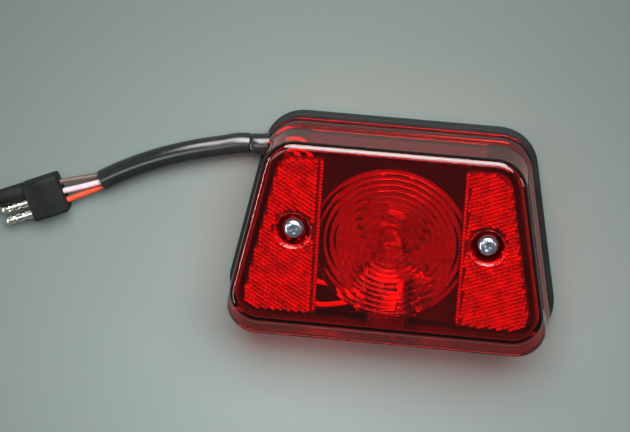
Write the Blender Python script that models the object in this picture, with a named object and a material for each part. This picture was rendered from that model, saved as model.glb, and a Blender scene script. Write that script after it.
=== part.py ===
"""Trailer tail light: pad, housing, lens, reflex panels, bulb in a bayonet socket, lead with a flat plug.

Every size below is in millimetres. The shape helpers turn them into Blender's metres.
The origin is on the back of the pad, +Z leaves the lens face and +Y is the lamp's top.
"""

import math

import bmesh
import bpy
from mathutils import Matrix, Vector

for leftover in list(bpy.data.objects):
    bpy.data.objects.remove(leftover, do_unlink=True)

MM = 0.001

# Clearances
GAP = 0.3  # between pieces that touch
RUN = 0.35  # round a piece that slides or turns

# Outline of the lens wall, measured from the mid-line of the reflectors
LENS_HALF_WIDTH = 61.6  # at the mid-line
SIDE_SLOPE = 0.2  # widening of each side for each millimetre down
FACE_TOP = 41.3
FACE_BOTTOM = 41.3
BODY_BOTTOM = 48.6  # below the sloping bottom shoulder
CORNER_TOP = 14.0
CORNER_BOTTOM = 13.0
CORNER_STEPS = 9

# Depths
FACE_Z = 38.5
FACE_WALL = 2.8
LENS_WALL = 2.4
FRONT_FILLET = 3.3
FILLET_STEPS = 4
INNER_FILLET = 1.7
BOTTOM_SHOULDER = 8.8  # depth below the face where the bottom shoulder ends
BEAD_TOP_Z = 17.5
SKIRT_TOP_Z = 12.0
SKIRT_STEP = 1.1
SKIRT_WALL = 2.3

# Rubber pad
PAD_THICKNESS = 5.3
PAD_FLOOR = 2.0
PAD_MARGIN_SIDE = 2.9
PAD_MARGIN_TOP = 3.0
PAD_MARGIN_BOTTOM = 2.0
PAD_CORNER = 17.5
PAD_GROOVE = 0.35
PAD_GROOVES = ((1.5, 2.1), (3.2, 3.8))

# Housing tray
TRAY_FLOOR = 2.0
TRAY_WALL = 1.8
TRAY_WALL_TOP = 10.6
GASKET_THICKNESS = 1.1
GASKET_WIDTH = 1.5
PLATE_THICKNESS = 0.8
PLATE_HALF_WIDTH = 22.0
PLATE_TOP = 18.0  # above the mid-line
PLATE_BOTTOM = 36.0
PLATE_CORNER = 16.0

# Lens screws, their wells and their posts
SCREW_X = 41.1
SCREW_Y = 2.8  # above the mid-line
WELL_MOUTH_R = 7.9
WELL_FLOOR_R = 5.1
WELL_DEPTH = 4.5
BOSS_R = 7.4
BOSS_DEPTH = 3.6  # of the wide part below the inside of the face
TUBE_R = 4.8
SCREW_R = 1.85
SCREW_HEAD_R = 4.0
SCREW_HEAD = 2.2
SCREW_LENGTH = 23.5
SCREW_CROSS = 4.4
SEAL_THICKNESS = 0.8
SEAL_R = 4.4
POST_R = 4.6
POST_TOP_Z = 23.5
INSERT_WALL = 0.8
INSERT_LENGTH = 8.5
POST_BORE_Z = 8.0

# Reflex panels
REFLEX_INNER_X = 29.9
REFLEX_HALF_HEIGHT = 34.9
REFLEX_OUTER_X = 55.5  # at the mid-line
REFLEX_CORNER = 8.0
REFLEX_INNER_CORNER = 1.2
REFLEX_THICKNESS = 2.0

# Bulb and socket, along Y
BULB_Z = 20.5
BULB_FOOT = 34.2  # of the contacts below the mid-line
GLASS_R = 13.25
GLASS_WALL = 0.9
BULB_LENGTH = 50.8
NECK_R = 6.4
SHOULDER_R = 7.2  # where the neck runs into the round of the glass
BASE_R = 7.6
BASE_WALL = 0.7
BASE_LENGTH = 19.0
SOLDER_HEIGHT = 1.45  # of the contacts beyond the base rim
SOLDER_R = 1.3
CONTACT_X = 3.3
BULB_PIN_R = 1.0
BULB_PIN_END_R = 8.85
BULB_PINS = ((90.0, 6.3), (270.0, 8.9))  # angle, height above the base rim
STEM_R = 2.4
STEM_TOP = 15.0  # above the base rim
SUPPORT_R = 0.35
FILAMENT_R = 0.3
FILAMENTS = ((33.0, 3.2), (37.0, 3.2))  # height above the base rim, half-length
PUSH_TRAVEL = 1.8
TURN_ANGLE = 35.0
SHELL_WALL = 1.25
SHELL_FRONT = 14.4  # above the base rim
FLANGE_R = 11.2
FLANGE_THICKNESS = 1.0
FLANGE_ABOVE_RIM = 0.6
BRACKET_THICKNESS = 1.2
BRACKET_HALF_WIDTH = 13.0
BRACKET_FOOT = 16.5
BRACKET_TOP_MARGIN = 10.8
RIVET_X = 9.0
RIVET_AHEAD = 11.0  # ahead of the bracket's plate
RIVET_R = 1.5
RIVET_HEAD_R = 2.8
RIVET_HEAD = 1.2
DISC_THICKNESS = 1.1
BUTTON_R = 1.6
BUTTON_HEIGHT = 0.9
BUTTON_SHANK_R = 0.8
BUTTON_SHANK = 1.25  # behind the disc
SPRING_R = 5.7
SPRING_WIRE_R = 0.35
SPRING_LENGTH = 4.2
SPRING_TURNS = 2.25
CAP_THICKNESS = 1.1
TERMINAL_THICKNESS = 0.7
TERMINAL_R = 3.4

# Inner leads
LEAD_R = 1.1

# Cord, boot and plug
CORD_R = 4.65
CORD_Z = 5.0
BOOT_WIDTH = 11.0
BOOT_HEIGHT = 9.8
BOOT_CORNER = 4.4
BOOT_Y = 28.35  # above the mid-line
BOOT_OUT = 5.5  # beyond the pad's edge
BOOT_IN = 9.0  # inside the pad's edge
CORD_ROUTE = (  # distance from the boot's outer face, and Y
    (-0.3, 31.5),
    (-5.1, 31.2),
    (-12.6, 29.3),
    (-22.0, 27.0),
    (-30.7, 24.4),
    (-39.3, 21.3),
    (-47.9, 17.6),
    (-56.4, 13.3),
    (-64.0, 8.9),
)
WIRE_R = 1.25
WIRE_SPREAD = 4.3
PLUG_BACK = (-81.2, 2.4)  # distance from the boot's outer face, and Y
PLUG_ANGLE = 203.0
PLUG_WIDTH = 17.8
PLUG_HEIGHT = 9.4
PLUG_LENGTH = 16.0
PLUG_CORNER = 2.6
PIN_PITCH = 5.4
PIN_R = 2.0
PIN_LENGTH = 14.0
PIN_WAIST = 0.45
SHROUD_R = 3.7
SHROUD_LENGTH = 14.0
SOCKET_R = 2.15
TERMINAL_WALL = 0.45

# Places that follow from the sizes above
MIDLINE_Y = (BODY_BOTTOM + PAD_MARGIN_BOTTOM - FACE_TOP - PAD_MARGIN_TOP) / 2
SIDE_STRETCH = math.hypot(1.0, SIDE_SLOPE)
LENS_BOTTOM_Z = PAD_THICKNESS + GAP
LEDGE_Z = SKIRT_TOP_Z + GAP
CEILING_Z = FACE_Z - FACE_WALL
WELL_FLOOR_Z = FACE_Z - WELL_DEPTH
TRAY_OUT = SKIRT_STEP - SKIRT_WALL - GAP - 0.1
TRAY_Z = PAD_FLOOR + GAP
TRAY_FLOOR_Z = TRAY_Z + TRAY_FLOOR
PLATE_Z = TRAY_FLOOR_Z + GAP
PLATE_TOP_Z = PLATE_Z + PLATE_THICKNESS
FOOT_Z = PLATE_TOP_Z + GAP
GASKET_Z = TRAY_WALL_TOP + GAP
SCREWS = (("left", -SCREW_X), ("right", SCREW_X))
SCREW_CENTRE_Y = MIDLINE_Y + SCREW_Y
INSERT_R = SCREW_R + GAP + INSERT_WALL
HEAD_Z = WELL_FLOOR_Z + GAP + SEAL_THICKNESS + GAP
CONTACT_END_Y = MIDLINE_Y - BULB_FOOT
RIM_Y = CONTACT_END_Y + SOLDER_HEIGHT
GLASS_Y = CONTACT_END_Y + BULB_LENGTH - GLASS_R
SHELL_BORE_R = BASE_R + RUN
SHELL_R = SHELL_BORE_R + SHELL_WALL
BUTTON_FRONT_Y = CONTACT_END_Y - GAP
DISC_FRONT_Y = BUTTON_FRONT_Y - BUTTON_HEIGHT - GAP
DISC_BACK_Y = DISC_FRONT_Y - DISC_THICKNESS
SPRING_FRONT_Y = DISC_BACK_Y - GAP
CAP_FRONT_Y = SPRING_FRONT_Y - SPRING_LENGTH - GAP
CAP_BACK_Y = CAP_FRONT_Y - CAP_THICKNESS
SHELL_BACK_Y = CAP_BACK_Y - 0.2
FLANGE_Y = RIM_Y + FLANGE_ABOVE_RIM
BRACKET_Y = FLANGE_Y - GAP - BRACKET_THICKNESS
RIVET_Y = BRACKET_Y + RIVET_AHEAD
LEAD_DROP_Y = (SHELL_BACK_Y + MIDLINE_Y - BODY_BOTTOM + LENS_WALL) / 2
BOOT_CENTRE_Y = MIDLINE_Y + BOOT_Y
PAD_EDGE_X = -(LENS_HALF_WIDTH + PAD_MARGIN_SIDE * SIDE_STRETCH - SIDE_SLOPE * BOOT_Y)
BOOT_INNER_X = PAD_EDGE_X + BOOT_IN
BOOT_FACE_X = PAD_EDGE_X - BOOT_OUT


# Materials

def make_material(name, colour, roughness, metallic=0.0, transmission=0.0):
    material = bpy.data.materials.new(name)
    material.use_nodes = True
    shader = material.node_tree.nodes["Principled BSDF"]
    shader.inputs["Base Color"].default_value = (*colour, 1.0)
    shader.inputs["Roughness"].default_value = roughness
    shader.inputs["Metallic"].default_value = metallic
    shader.inputs["Transmission Weight"].default_value = transmission
    material.diffuse_color = (*colour, 1.0)
    return material


FINISHES = {
    "pad_rubber": ((0.06, 0.07, 0.075), 0.62),
    "black_plastic": ((0.02, 0.02, 0.022), 0.4),
    "red_lens": ((0.75, 0.01, 0.01), 0.08, 0.0, 0.6),
    "red_reflex": ((0.95, 0.02, 0.02), 0.2, 0.0, 0.2),
    "seal_rubber": ((0.03, 0.03, 0.03), 0.7),
    "zinc_steel": ((0.6, 0.61, 0.64), 0.3, 1.0),
    "bright_steel": ((0.8, 0.8, 0.8), 0.22, 1.0),
    "brass": ((0.72, 0.5, 0.2), 0.3, 1.0),
    "spring_steel": ((0.55, 0.55, 0.56), 0.3, 1.0),
    "fibre": ((0.35, 0.2, 0.1), 0.7),
    "bulb_glass": ((0.95, 0.95, 0.95), 0.03, 0.0, 1.0),
    "black_glass": ((0.02, 0.02, 0.03), 0.2),
    "solder": ((0.6, 0.6, 0.6), 0.4, 1.0),
    "tungsten": ((0.2, 0.2, 0.2), 0.45, 1.0),
    "vinyl_black": ((0.015, 0.017, 0.016), 0.28),
    "wire_brown": ((0.16, 0.09, 0.06), 0.4),
    "wire_white": ((0.8, 0.7, 0.7), 0.4),
    "wire_orange": ((0.85, 0.16, 0.06), 0.4),
    "plug_rubber": ((0.02, 0.022, 0.02), 0.5),
    "nickel": ((0.8, 0.79, 0.72), 0.25, 1.0),
}
MATERIALS = {}


def finish(name):
    if name not in MATERIALS:
        MATERIALS[name] = make_material(name, *FINISHES[name])
    return MATERIALS[name]


# Shape helpers

def add_object(name, shape, material=None, smooth_angle=35.0):
    """An object that owns the bmesh's faces, in millimetres until here. With no material it is a helper."""
    bmesh.ops.recalc_face_normals(shape, faces=shape.faces)
    bmesh.ops.scale(shape, vec=(MM, MM, MM), verts=shape.verts)
    mesh = bpy.data.meshes.new(name)
    shape.to_mesh(mesh)
    shape.free()
    made = bpy.data.objects.new(name, mesh)
    bpy.context.scene.collection.objects.link(made)
    if material is None:
        made.hide_render = True
        made.display_type = "WIRE"
        return made
    mesh.materials.append(finish(material))
    mesh.shade_smooth()
    mesh.set_sharp_from_angle(angle=math.radians(smooth_angle))
    return made


def boolean(target, other, operation="DIFFERENCE"):
    """Cuts other from target, or joins it to target, and keeps the result as target's mesh."""
    modifier = target.modifiers.new("boolean", "BOOLEAN")
    modifier.operation = operation
    modifier.object = other
    modifier.solver = "EXACT"
    bpy.context.view_layer.update()
    graph = bpy.context.evaluated_depsgraph_get()
    result = bpy.data.meshes.new_from_object(target.evaluated_get(graph))
    target.modifiers.clear()
    shape = bmesh.new()
    shape.from_mesh(result)
    bmesh.ops.triangulate(shape, faces=shape.faces)
    shape.to_mesh(result)
    shape.free()
    old = target.data
    target.data = result
    result.name = target.name
    bpy.data.meshes.remove(old)
    bpy.data.objects.remove(other, do_unlink=True)
    target.data.shade_smooth()
    target.data.set_sharp_from_angle(angle=math.radians(35.0))


def cut(target, *cutters):
    for cutter in cutters:
        boolean(target, cutter)


def join(target, *others):
    for other in others:
        boolean(target, other, "UNION")


def rounded_polygon(corners, radii, steps):
    """Points of a polygon, anticlockwise, with an arc of the given radius at each corner."""
    points = []
    for index, corner in enumerate(corners):
        here = Vector(corner)
        before = (Vector(corners[index - 1]) - here).normalized()
        after = (Vector(corners[(index + 1) % len(corners)]) - here).normalized()
        half = before.angle(after) / 2
        centre = here + (before + after).normalized() * (radii[index] / math.sin(half))
        start = here + before * (radii[index] / math.tan(half)) - centre
        turn = math.pi - 2 * half
        for step in range(steps + 1):
            arm = Matrix.Rotation(turn * step / steps, 2) @ start
            points.append(centre + arm)
    return points


def body_outline(out, bottom=BODY_BOTTOM, top_corner=CORNER_TOP, bottom_corner=CORNER_BOTTOM):
    """The lens wall's outline moved outwards by out, as a ring in XY."""
    top = FACE_TOP + out
    low = -bottom - out
    half = LENS_HALF_WIDTH + out * SIDE_STRETCH
    corners = (
        (-(half - SIDE_SLOPE * low), low),
        (half - SIDE_SLOPE * low, low),
        (half - SIDE_SLOPE * top, top),
        (-(half - SIDE_SLOPE * top), top),
    )
    radii = (bottom_corner + out, bottom_corner + out, top_corner + out, top_corner + out)
    ring = rounded_polygon(corners, radii, CORNER_STEPS)
    return [Vector((point.x, point.y + MIDLINE_Y)) for point in ring]


def loft(name, rings, material=None, closed=False):
    """A solid through rings of (outline, z). When closed, the last ring joins the first, with no caps."""
    shape = bmesh.new()
    loops = [[shape.verts.new((point.x, point.y, z)) for point in outline] for outline, z in rings]
    pairs = list(zip(loops, loops[1:]))
    if closed:
        pairs.append((loops[-1], loops[0]))
    else:
        shape.faces.new(loops[0])
        shape.faces.new(loops[-1])
    for lower, upper in pairs:
        for index in range(len(lower)):
            after = (index + 1) % len(lower)
            shape.faces.new((lower[index], lower[after], upper[after], upper[index]))
    return add_object(name, shape, material)


def place(made, matrix):
    """Moves the mesh itself, with the matrix's shift in millimetres."""
    shift = matrix.to_translation() * MM
    made.data.transform(Matrix.Translation(shift) @ matrix.to_3x3().to_4x4())
    return made


def turned(name, profile, material=None, segments=24, start=0.0, sweep=360.0):
    """A profile of (radius, height) turned round Z. A part turn gets flat ends."""
    shape = bmesh.new()
    points = [shape.verts.new((radius, 0.0, height)) for radius, height in profile]
    edges = [shape.edges.new((a, b)) for a, b in zip(points, points[1:])]
    on_axis = profile[0][0] == 0 and profile[-1][0] == 0
    if not on_axis:
        edges.append(shape.edges.new((points[-1], points[0])))
    bmesh.ops.rotate(shape, verts=points, cent=(0, 0, 0), matrix=Matrix.Rotation(math.radians(start), 3, "Z"))
    whole = sweep == 360.0
    parts = points + edges
    if not whole:
        parts = points + edges + [shape.faces.new(points)]
    spun = bmesh.ops.spin(
        shape,
        geom=parts,
        cent=(0, 0, 0),
        axis=(0, 0, 1),
        angle=math.radians(sweep),
        steps=segments,
        use_duplicate=False,
    )
    if not whole:
        ends = [item for item in spun["geom_last"] if isinstance(item, bmesh.types.BMFace)]
        if not ends:
            shape.faces.new([item for item in spun["geom_last"] if isinstance(item, bmesh.types.BMVert)])
    bmesh.ops.remove_doubles(shape, verts=shape.verts, dist=0.0005)
    return add_object(name, shape, material)


def cylinder(name, radius, low, high, material=None, segments=24):
    return turned(name, ((0.0, low), (radius, low), (radius, high), (0.0, high)), material, segments)


def ring(name, inner, outer, low, high, material=None, segments=24):
    profile = ((inner, low), (outer, low), (outer, high), (inner, high))
    return turned(name, profile, material, segments)


def box(name, low, high, material=None):
    shape = bmesh.new()
    bmesh.ops.create_cube(shape, size=1.0)
    size = Vector(high) - Vector(low)
    bmesh.ops.scale(shape, vec=size, verts=shape.verts)
    bmesh.ops.translate(shape, vec=(Vector(high) + Vector(low)) / 2, verts=shape.verts)
    return add_object(name, shape, material)


def smooth_route(points, spacing):
    """Points about spacing apart on a smooth curve (Catmull-Rom) through the given points."""
    points = [Vector(point) for point in points]
    ends = [2 * points[0] - points[1]] + points + [2 * points[-1] - points[-2]]
    dense = []
    for a, b, c, d in zip(ends, ends[1:], ends[2:], ends[3:]):
        count = max(2, round((c - b).length / spacing * 4))
        for step in range(count):
            t = step / count
            bend = (2 * a - 5 * b + 4 * c - d) * t**2 + (3 * b - a - 3 * c + d) * t**3
            dense.append(0.5 * (2 * b + (c - a) * t + bend))
    dense.append(points[-1])
    length = sum((b - a).length for a, b in zip(dense, dense[1:]))
    count = max(2, round(length / spacing))
    route = [dense[0]]
    walked = 0.0
    for a, b in zip(dense, dense[1:]):
        walked += (b - a).length
        if walked >= len(route) * length / count and len(route) < count:
            route.append(b)
    route.append(dense[-1])
    return route


def tube(name, points, radius, material, resolution=2):
    """A curve object with round section and filled caps along the points."""
    curve = bpy.data.curves.new(name, "CURVE")
    curve.dimensions = "3D"
    curve.bevel_depth = radius * MM
    curve.bevel_resolution = resolution
    curve.use_fill_caps = True
    spline = curve.splines.new("POLY")
    spline.points.add(len(points) - 1)
    for slot, point in zip(spline.points, points):
        slot.co = (*(Vector(point) * MM), 1.0)
        slot.radius = 1.0
    curve.materials.append(finish(material))
    made = bpy.data.objects.new(name, curve)
    bpy.context.scene.collection.objects.link(made)
    return made


def along_bulb():
    """Turns Z into +Y and puts the axis at the bulb's height: a height h lands on y = h."""
    return Matrix.Translation((0, 0, BULB_Z)) @ Matrix.Rotation(math.radians(-90), 4, "X")


# Rubber pad

def boot_section(grow, x, top_grow=0.0, below=0.0):
    half = BOOT_WIDTH / 2 + grow
    low = CORD_Z - BOOT_HEIGHT / 2 - grow - below
    high = CORD_Z + BOOT_HEIGHT / 2 + grow + top_grow
    corners = ((-half, low), (half, low), (half, high), (-half, high))
    section = rounded_polygon(corners, (BOOT_CORNER + grow,) * 4, 5)
    return [Vector((x, BOOT_CENTRE_Y + point.x, point.y)) for point in section]


def boot_solid(name, grow, low_x, high_x, material=None, top_grow=0.0, below=0.0):
    shape = bmesh.new()
    loops = [
        [shape.verts.new(point) for point in boot_section(grow, x, top_grow, below)] for x in (low_x, high_x)
    ]
    for loop in loops:
        shape.faces.new(loop)
    for index in range(len(loops[0])):
        after = (index + 1) % len(loops[0])
        shape.faces.new((loops[0][index], loops[0][after], loops[1][after], loops[1][index]))
    return add_object(name, shape, material)


def boot_notch(top_grow=0.0, below=0.0):
    return boot_solid("boot_notch", GAP, PAD_EDGE_X - 20.0, BOOT_INNER_X + GAP, None, top_grow, below)


def pad_outline(inset):
    half = LENS_HALF_WIDTH + (PAD_MARGIN_SIDE - inset) * SIDE_STRETCH
    top = FACE_TOP + PAD_MARGIN_TOP - inset
    low = -BODY_BOTTOM - PAD_MARGIN_BOTTOM + inset
    corners = (
        (-(half - SIDE_SLOPE * low), low),
        (half - SIDE_SLOPE * low, low),
        (half - SIDE_SLOPE * top, top),
        (-(half - SIDE_SLOPE * top), top),
    )
    points = rounded_polygon(corners, (PAD_CORNER - inset,) * 4, CORNER_STEPS)
    return [Vector((point.x, point.y + MIDLINE_Y)) for point in points]


def make_pad():
    rings = [(pad_outline(0.0), 0.0)]
    for low, high in PAD_GROOVES:
        rings.append((pad_outline(0.0), low))
        rings.append((pad_outline(PAD_GROOVE), (low + high) / 2))
        rings.append((pad_outline(0.0), high))
    rings.append((pad_outline(0.0), PAD_THICKNESS))
    recess = body_outline(TRAY_OUT + GAP)
    rings.append((recess, PAD_THICKNESS))
    rings.append((recess, PAD_FLOOR))
    pad = loft("mounting_pad", rings, "pad_rubber")
    cut(pad, boot_notch(below=3.0))


# Housing tray with its posts

def make_housing():
    outer = body_outline(TRAY_OUT)
    inner = body_outline(TRAY_OUT - TRAY_WALL)
    rings = ((outer, TRAY_Z), (outer, TRAY_WALL_TOP), (inner, TRAY_WALL_TOP), (inner, TRAY_FLOOR_Z))
    housing = loft("housing", rings, "black_plastic")
    for side, x in SCREWS:
        post = cylinder("post", POST_R, TRAY_Z + 0.5, POST_TOP_Z)
        bore = cylinder("bore", INSERT_R + GAP, POST_BORE_Z, POST_TOP_Z + 5.0)
        for helper in (post, bore):
            place(helper, Matrix.Translation((x, SCREW_CENTRE_Y, 0)))
        join(housing, post)
        cut(housing, bore)
    for x in (-RIVET_X, RIVET_X):
        hole = cylinder("hole", RIVET_R + GAP, 0.0, TRAY_FLOOR_Z + 3.0, segments=16)
        cut(housing, place(hole, Matrix.Translation((x, RIVET_Y, 0))))
    cut(housing, boot_notch(top_grow=4.0))


def make_gasket():
    outer = body_outline(TRAY_OUT - 0.1)
    inner = body_outline(TRAY_OUT - 0.1 - GASKET_WIDTH)
    low = GASKET_Z
    high = GASKET_Z + GASKET_THICKNESS
    rings = ((outer, low), (outer, high), (inner, high), (inner, low))
    loft("lens_gasket", rings, "seal_rubber", closed=True)


def make_inserts():
    for side, x in SCREWS:
        insert = ring(
            f"thread_insert_{side}",
            SCREW_R + GAP,
            INSERT_R,
            POST_TOP_Z - INSERT_LENGTH,
            POST_TOP_Z,
            "brass",
        )
        place(insert, Matrix.Translation((x, SCREW_CENTRE_Y, 0)))


def make_plate():
    corners = (
        (-PLATE_HALF_WIDTH, MIDLINE_Y - PLATE_BOTTOM),
        (PLATE_HALF_WIDTH, MIDLINE_Y - PLATE_BOTTOM),
        (PLATE_HALF_WIDTH, MIDLINE_Y + PLATE_TOP),
        (-PLATE_HALF_WIDTH, MIDLINE_Y + PLATE_TOP),
    )
    outline = rounded_polygon(corners, (PLATE_CORNER,) * 4, 8)
    plate = loft("reflector_plate", ((outline, PLATE_Z), (outline, PLATE_TOP_Z)), "bright_steel")
    for x in (-RIVET_X, RIVET_X):
        hole = cylinder("hole", RIVET_R + GAP, 0.0, FACE_Z, segments=16)
        cut(plate, place(hole, Matrix.Translation((x, RIVET_Y, 0))))


# Lens, reflex panels and lens screws

def make_lens():
    rings = []
    for step in range(FILLET_STEPS + 1):
        angle = math.radians(90.0 * step / FILLET_STEPS)
        out = FRONT_FILLET * (math.sin(angle) - 1)
        z = FACE_Z - FRONT_FILLET * (1 - math.cos(angle))
        rings.append((body_outline(out, FACE_BOTTOM), z))
    shoulder_z = FACE_Z - BOTTOM_SHOULDER
    rings.append((body_outline(0.0), shoulder_z))
    rings.append((body_outline(0.0), BEAD_TOP_Z))
    for share in (0.35, 0.7, 1.0):
        z = BEAD_TOP_Z + (SKIRT_TOP_Z - BEAD_TOP_Z) * share
        rings.append((body_outline(SKIRT_STEP * math.sin(math.radians(90.0 * share))), z))
    rings.append((body_outline(SKIRT_STEP), LENS_BOTTOM_Z))
    rings.append((body_outline(SKIRT_STEP - SKIRT_WALL), LENS_BOTTOM_Z))
    rings.append((body_outline(SKIRT_STEP - SKIRT_WALL), LEDGE_Z))
    rings.append((body_outline(-LENS_WALL), LEDGE_Z))
    drop = FACE_Z - FRONT_FILLET - shoulder_z
    slant = math.hypot(drop, BODY_BOTTOM - FACE_BOTTOM)
    sink = LENS_WALL * (slant - drop) / (BODY_BOTTOM - FACE_BOTTOM)
    rings.append((body_outline(-LENS_WALL), shoulder_z - sink))
    rings.append((body_outline(-LENS_WALL, FACE_BOTTOM), CEILING_Z - INNER_FILLET))
    rings.append((body_outline(-LENS_WALL - 0.3 * INNER_FILLET, FACE_BOTTOM), CEILING_Z - 0.3 * INNER_FILLET))
    rings.append((body_outline(-LENS_WALL - INNER_FILLET, FACE_BOTTOM), CEILING_Z))
    lens = loft("lens", rings, "red_lens")
    for side, x in SCREWS:
        where = Matrix.Translation((x, SCREW_CENTRE_Y, 0))
        boss_profile = (
            (0.0, FACE_Z - 1.0),
            (BOSS_R, FACE_Z - 1.0),
            (BOSS_R, CEILING_Z - BOSS_DEPTH),
            (TUBE_R, CEILING_Z - BOSS_DEPTH - 1.2),
            (TUBE_R, POST_TOP_Z + GAP),
            (0.0, POST_TOP_Z + GAP),
        )
        well_profile = (
            (0.0, FACE_Z + 2.0),
            (WELL_MOUTH_R, FACE_Z + 2.0),
            (WELL_MOUTH_R, FACE_Z),
            (WELL_FLOOR_R, WELL_FLOOR_Z),
            (0.0, WELL_FLOOR_Z),
        )
        join(lens, place(turned("boss", boss_profile), where))
        cut(lens, place(turned("well", well_profile), where))
        cut(lens, place(cylinder("hole", SCREW_R + RUN, 0.0, FACE_Z, segments=16), where))
    cut(lens, boot_notch())


def reflex_outline(sign):
    high = REFLEX_HALF_HEIGHT
    corners = [
        (REFLEX_INNER_X, -high),
        (REFLEX_OUTER_X + SIDE_SLOPE * high, -high),
        (REFLEX_OUTER_X - SIDE_SLOPE * high, high),
        (REFLEX_INNER_X, high),
    ]
    radii = [REFLEX_INNER_CORNER, REFLEX_CORNER, REFLEX_CORNER, REFLEX_INNER_CORNER]
    points = rounded_polygon(corners, radii, 6)
    return [Vector((sign * point.x, point.y + MIDLINE_Y)) for point in points]


def make_reflex_panels():
    top = CEILING_Z - GAP
    for side, x in SCREWS:
        outline = reflex_outline(math.copysign(1.0, x))
        rings = ((outline, top - REFLEX_THICKNESS), (outline, top))
        panel = loft(f"reflex_panel_{side}", rings, "red_reflex")
        hole = cylinder("hole", BOSS_R + GAP, 0.0, FACE_Z)
        cut(panel, place(hole, Matrix.Translation((x, SCREW_CENTRE_Y, 0))))


def make_lens_screws():
    for side, x in SCREWS:
        where = Matrix.Translation((x, SCREW_CENTRE_Y, 0))
        top = HEAD_Z + SCREW_HEAD
        tip = HEAD_Z - SCREW_LENGTH
        profile = (
            (0.0, tip),
            (SCREW_R - 0.6, tip),
            (SCREW_R, tip + 1.0),
            (SCREW_R, HEAD_Z),
            (SCREW_HEAD_R, HEAD_Z),
            (SCREW_HEAD_R, top - 1.1),
            (SCREW_HEAD_R - 1.1, top - 0.2),
            (0.0, top),
        )
        screw = turned(f"lens_screw_{side}", profile, "zinc_steel", segments=16)
        half = SCREW_CROSS / 2
        slot = 0.55
        cut(screw, box("slot_x", (-half, -slot, top - 1.3), (half, slot, top + 1.0)))
        cut(screw, box("slot_y", (-slot, -half, top - 1.3), (slot, half, top + 1.0)))
        place(screw, where)
        seal_z = WELL_FLOOR_Z + GAP
        seal = ring(
            f"screw_seal_{side}", SCREW_R + RUN, SEAL_R, seal_z, seal_z + SEAL_THICKNESS, "seal_rubber", 20
        )
        place(seal, where)


# Bulb

def make_bulb():
    axis = along_bulb()
    neck_low = RIM_Y + 2.0
    profile = [(NECK_R, neck_low), (NECK_R, RIM_Y + BASE_LENGTH + 1.5)]
    flare = RIM_Y + BASE_LENGTH + 1.5
    start = math.pi - math.asin(SHOULDER_R / GLASS_R)
    inner = [(NECK_R - GLASS_WALL, neck_low), (NECK_R - GLASS_WALL, flare)]
    steps = 9
    for step in range(steps + 1):
        angle = start * (1 - step / steps)
        profile.append((GLASS_R * math.sin(angle), GLASS_Y + GLASS_R * math.cos(angle)))
        radius = GLASS_R - GLASS_WALL
        inner.append((radius * math.sin(angle), GLASS_Y + radius * math.cos(angle)))
    profile[-1] = (0.0, GLASS_Y + GLASS_R)
    inner[-1] = (0.0, GLASS_Y + GLASS_R - GLASS_WALL)
    whole = list(reversed(profile)) + inner
    place(turned("bulb_glass", whole, "bulb_glass", 28), axis)

    base = ring("bulb_base", BASE_R - BASE_WALL, BASE_R, RIM_Y, RIM_Y + BASE_LENGTH, "brass", 28)
    for angle, height in BULB_PINS:
        pin = cylinder("pin", BULB_PIN_R, BASE_R - BASE_WALL + 0.1, BULB_PIN_END_R, segments=14)
        place(pin, Matrix.Rotation(math.radians(90), 4, "Y"))
        place(pin, Matrix.Translation((0, 0, RIM_Y + height)) @ Matrix.Rotation(math.radians(angle), 4, "Z"))
        join(base, pin)
    place(base, axis)

    insulator = cylinder("bulb_insulator", BASE_R - BASE_WALL - GAP, RIM_Y - 0.1, RIM_Y + 1.6, "black_glass")
    place(insulator, axis)
    for label, x in (("tail", -CONTACT_X), ("stop", CONTACT_X)):
        solder = turned(
            f"bulb_contact_{label}",
            (
                (0.0, CONTACT_END_Y),
                (SOLDER_R - 0.5, CONTACT_END_Y + 0.1),
                (SOLDER_R, CONTACT_END_Y + 0.5),
                (SOLDER_R, RIM_Y - 0.1 - GAP),
                (0.0, RIM_Y - 0.1 - GAP),
            ),
            "solder",
            14,
        )
        place(solder, axis @ Matrix.Translation((x, 0, 0)))

    stem_top = RIM_Y + STEM_TOP
    stem = turned(
        "bulb_stem",
        (
            (0.0, neck_low + 0.6),
            (STEM_R + 1.2, neck_low + 0.6),
            (STEM_R, neck_low + 4.0),
            (STEM_R, stem_top),
            (0.0, stem_top),
        ),
        "bulb_glass",
        16,
    )
    place(stem, axis)
    for number, (height, half) in enumerate(FILAMENTS):
        label = ("tail", "stop")[number]
        y = RIM_Y + height
        z = BULB_Z + (number - 0.5) * 3.0
        for side, sign in (("a", -1.0), ("b", 1.0)):
            foot = (sign * (0.8 + 0.5 * number), stem_top + GAP, BULB_Z + (number - 0.5) * 1.6)
            bend = (sign * (half + 0.4), stem_top + 8.0, z)
            end = (sign * (half + SUPPORT_R + GAP), y + SUPPORT_R, z)
            tube(f"support_wire_{label}_{side}", (foot, bend, end), SUPPORT_R, "nickel", 1)
        tube(f"filament_{label}", ((-half, y, z), (half, y, z)), FILAMENT_R, "tungsten", 1)


# Socket

def slot_leg(low, high, start, sweep):
    inner = SHELL_BORE_R - 1.0
    outer = SHELL_R + 4.0
    profile = ((inner, low), (outer, low), (outer, high), (inner, high))
    return turned("slot_leg", profile, None, 8, start, sweep)


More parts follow.
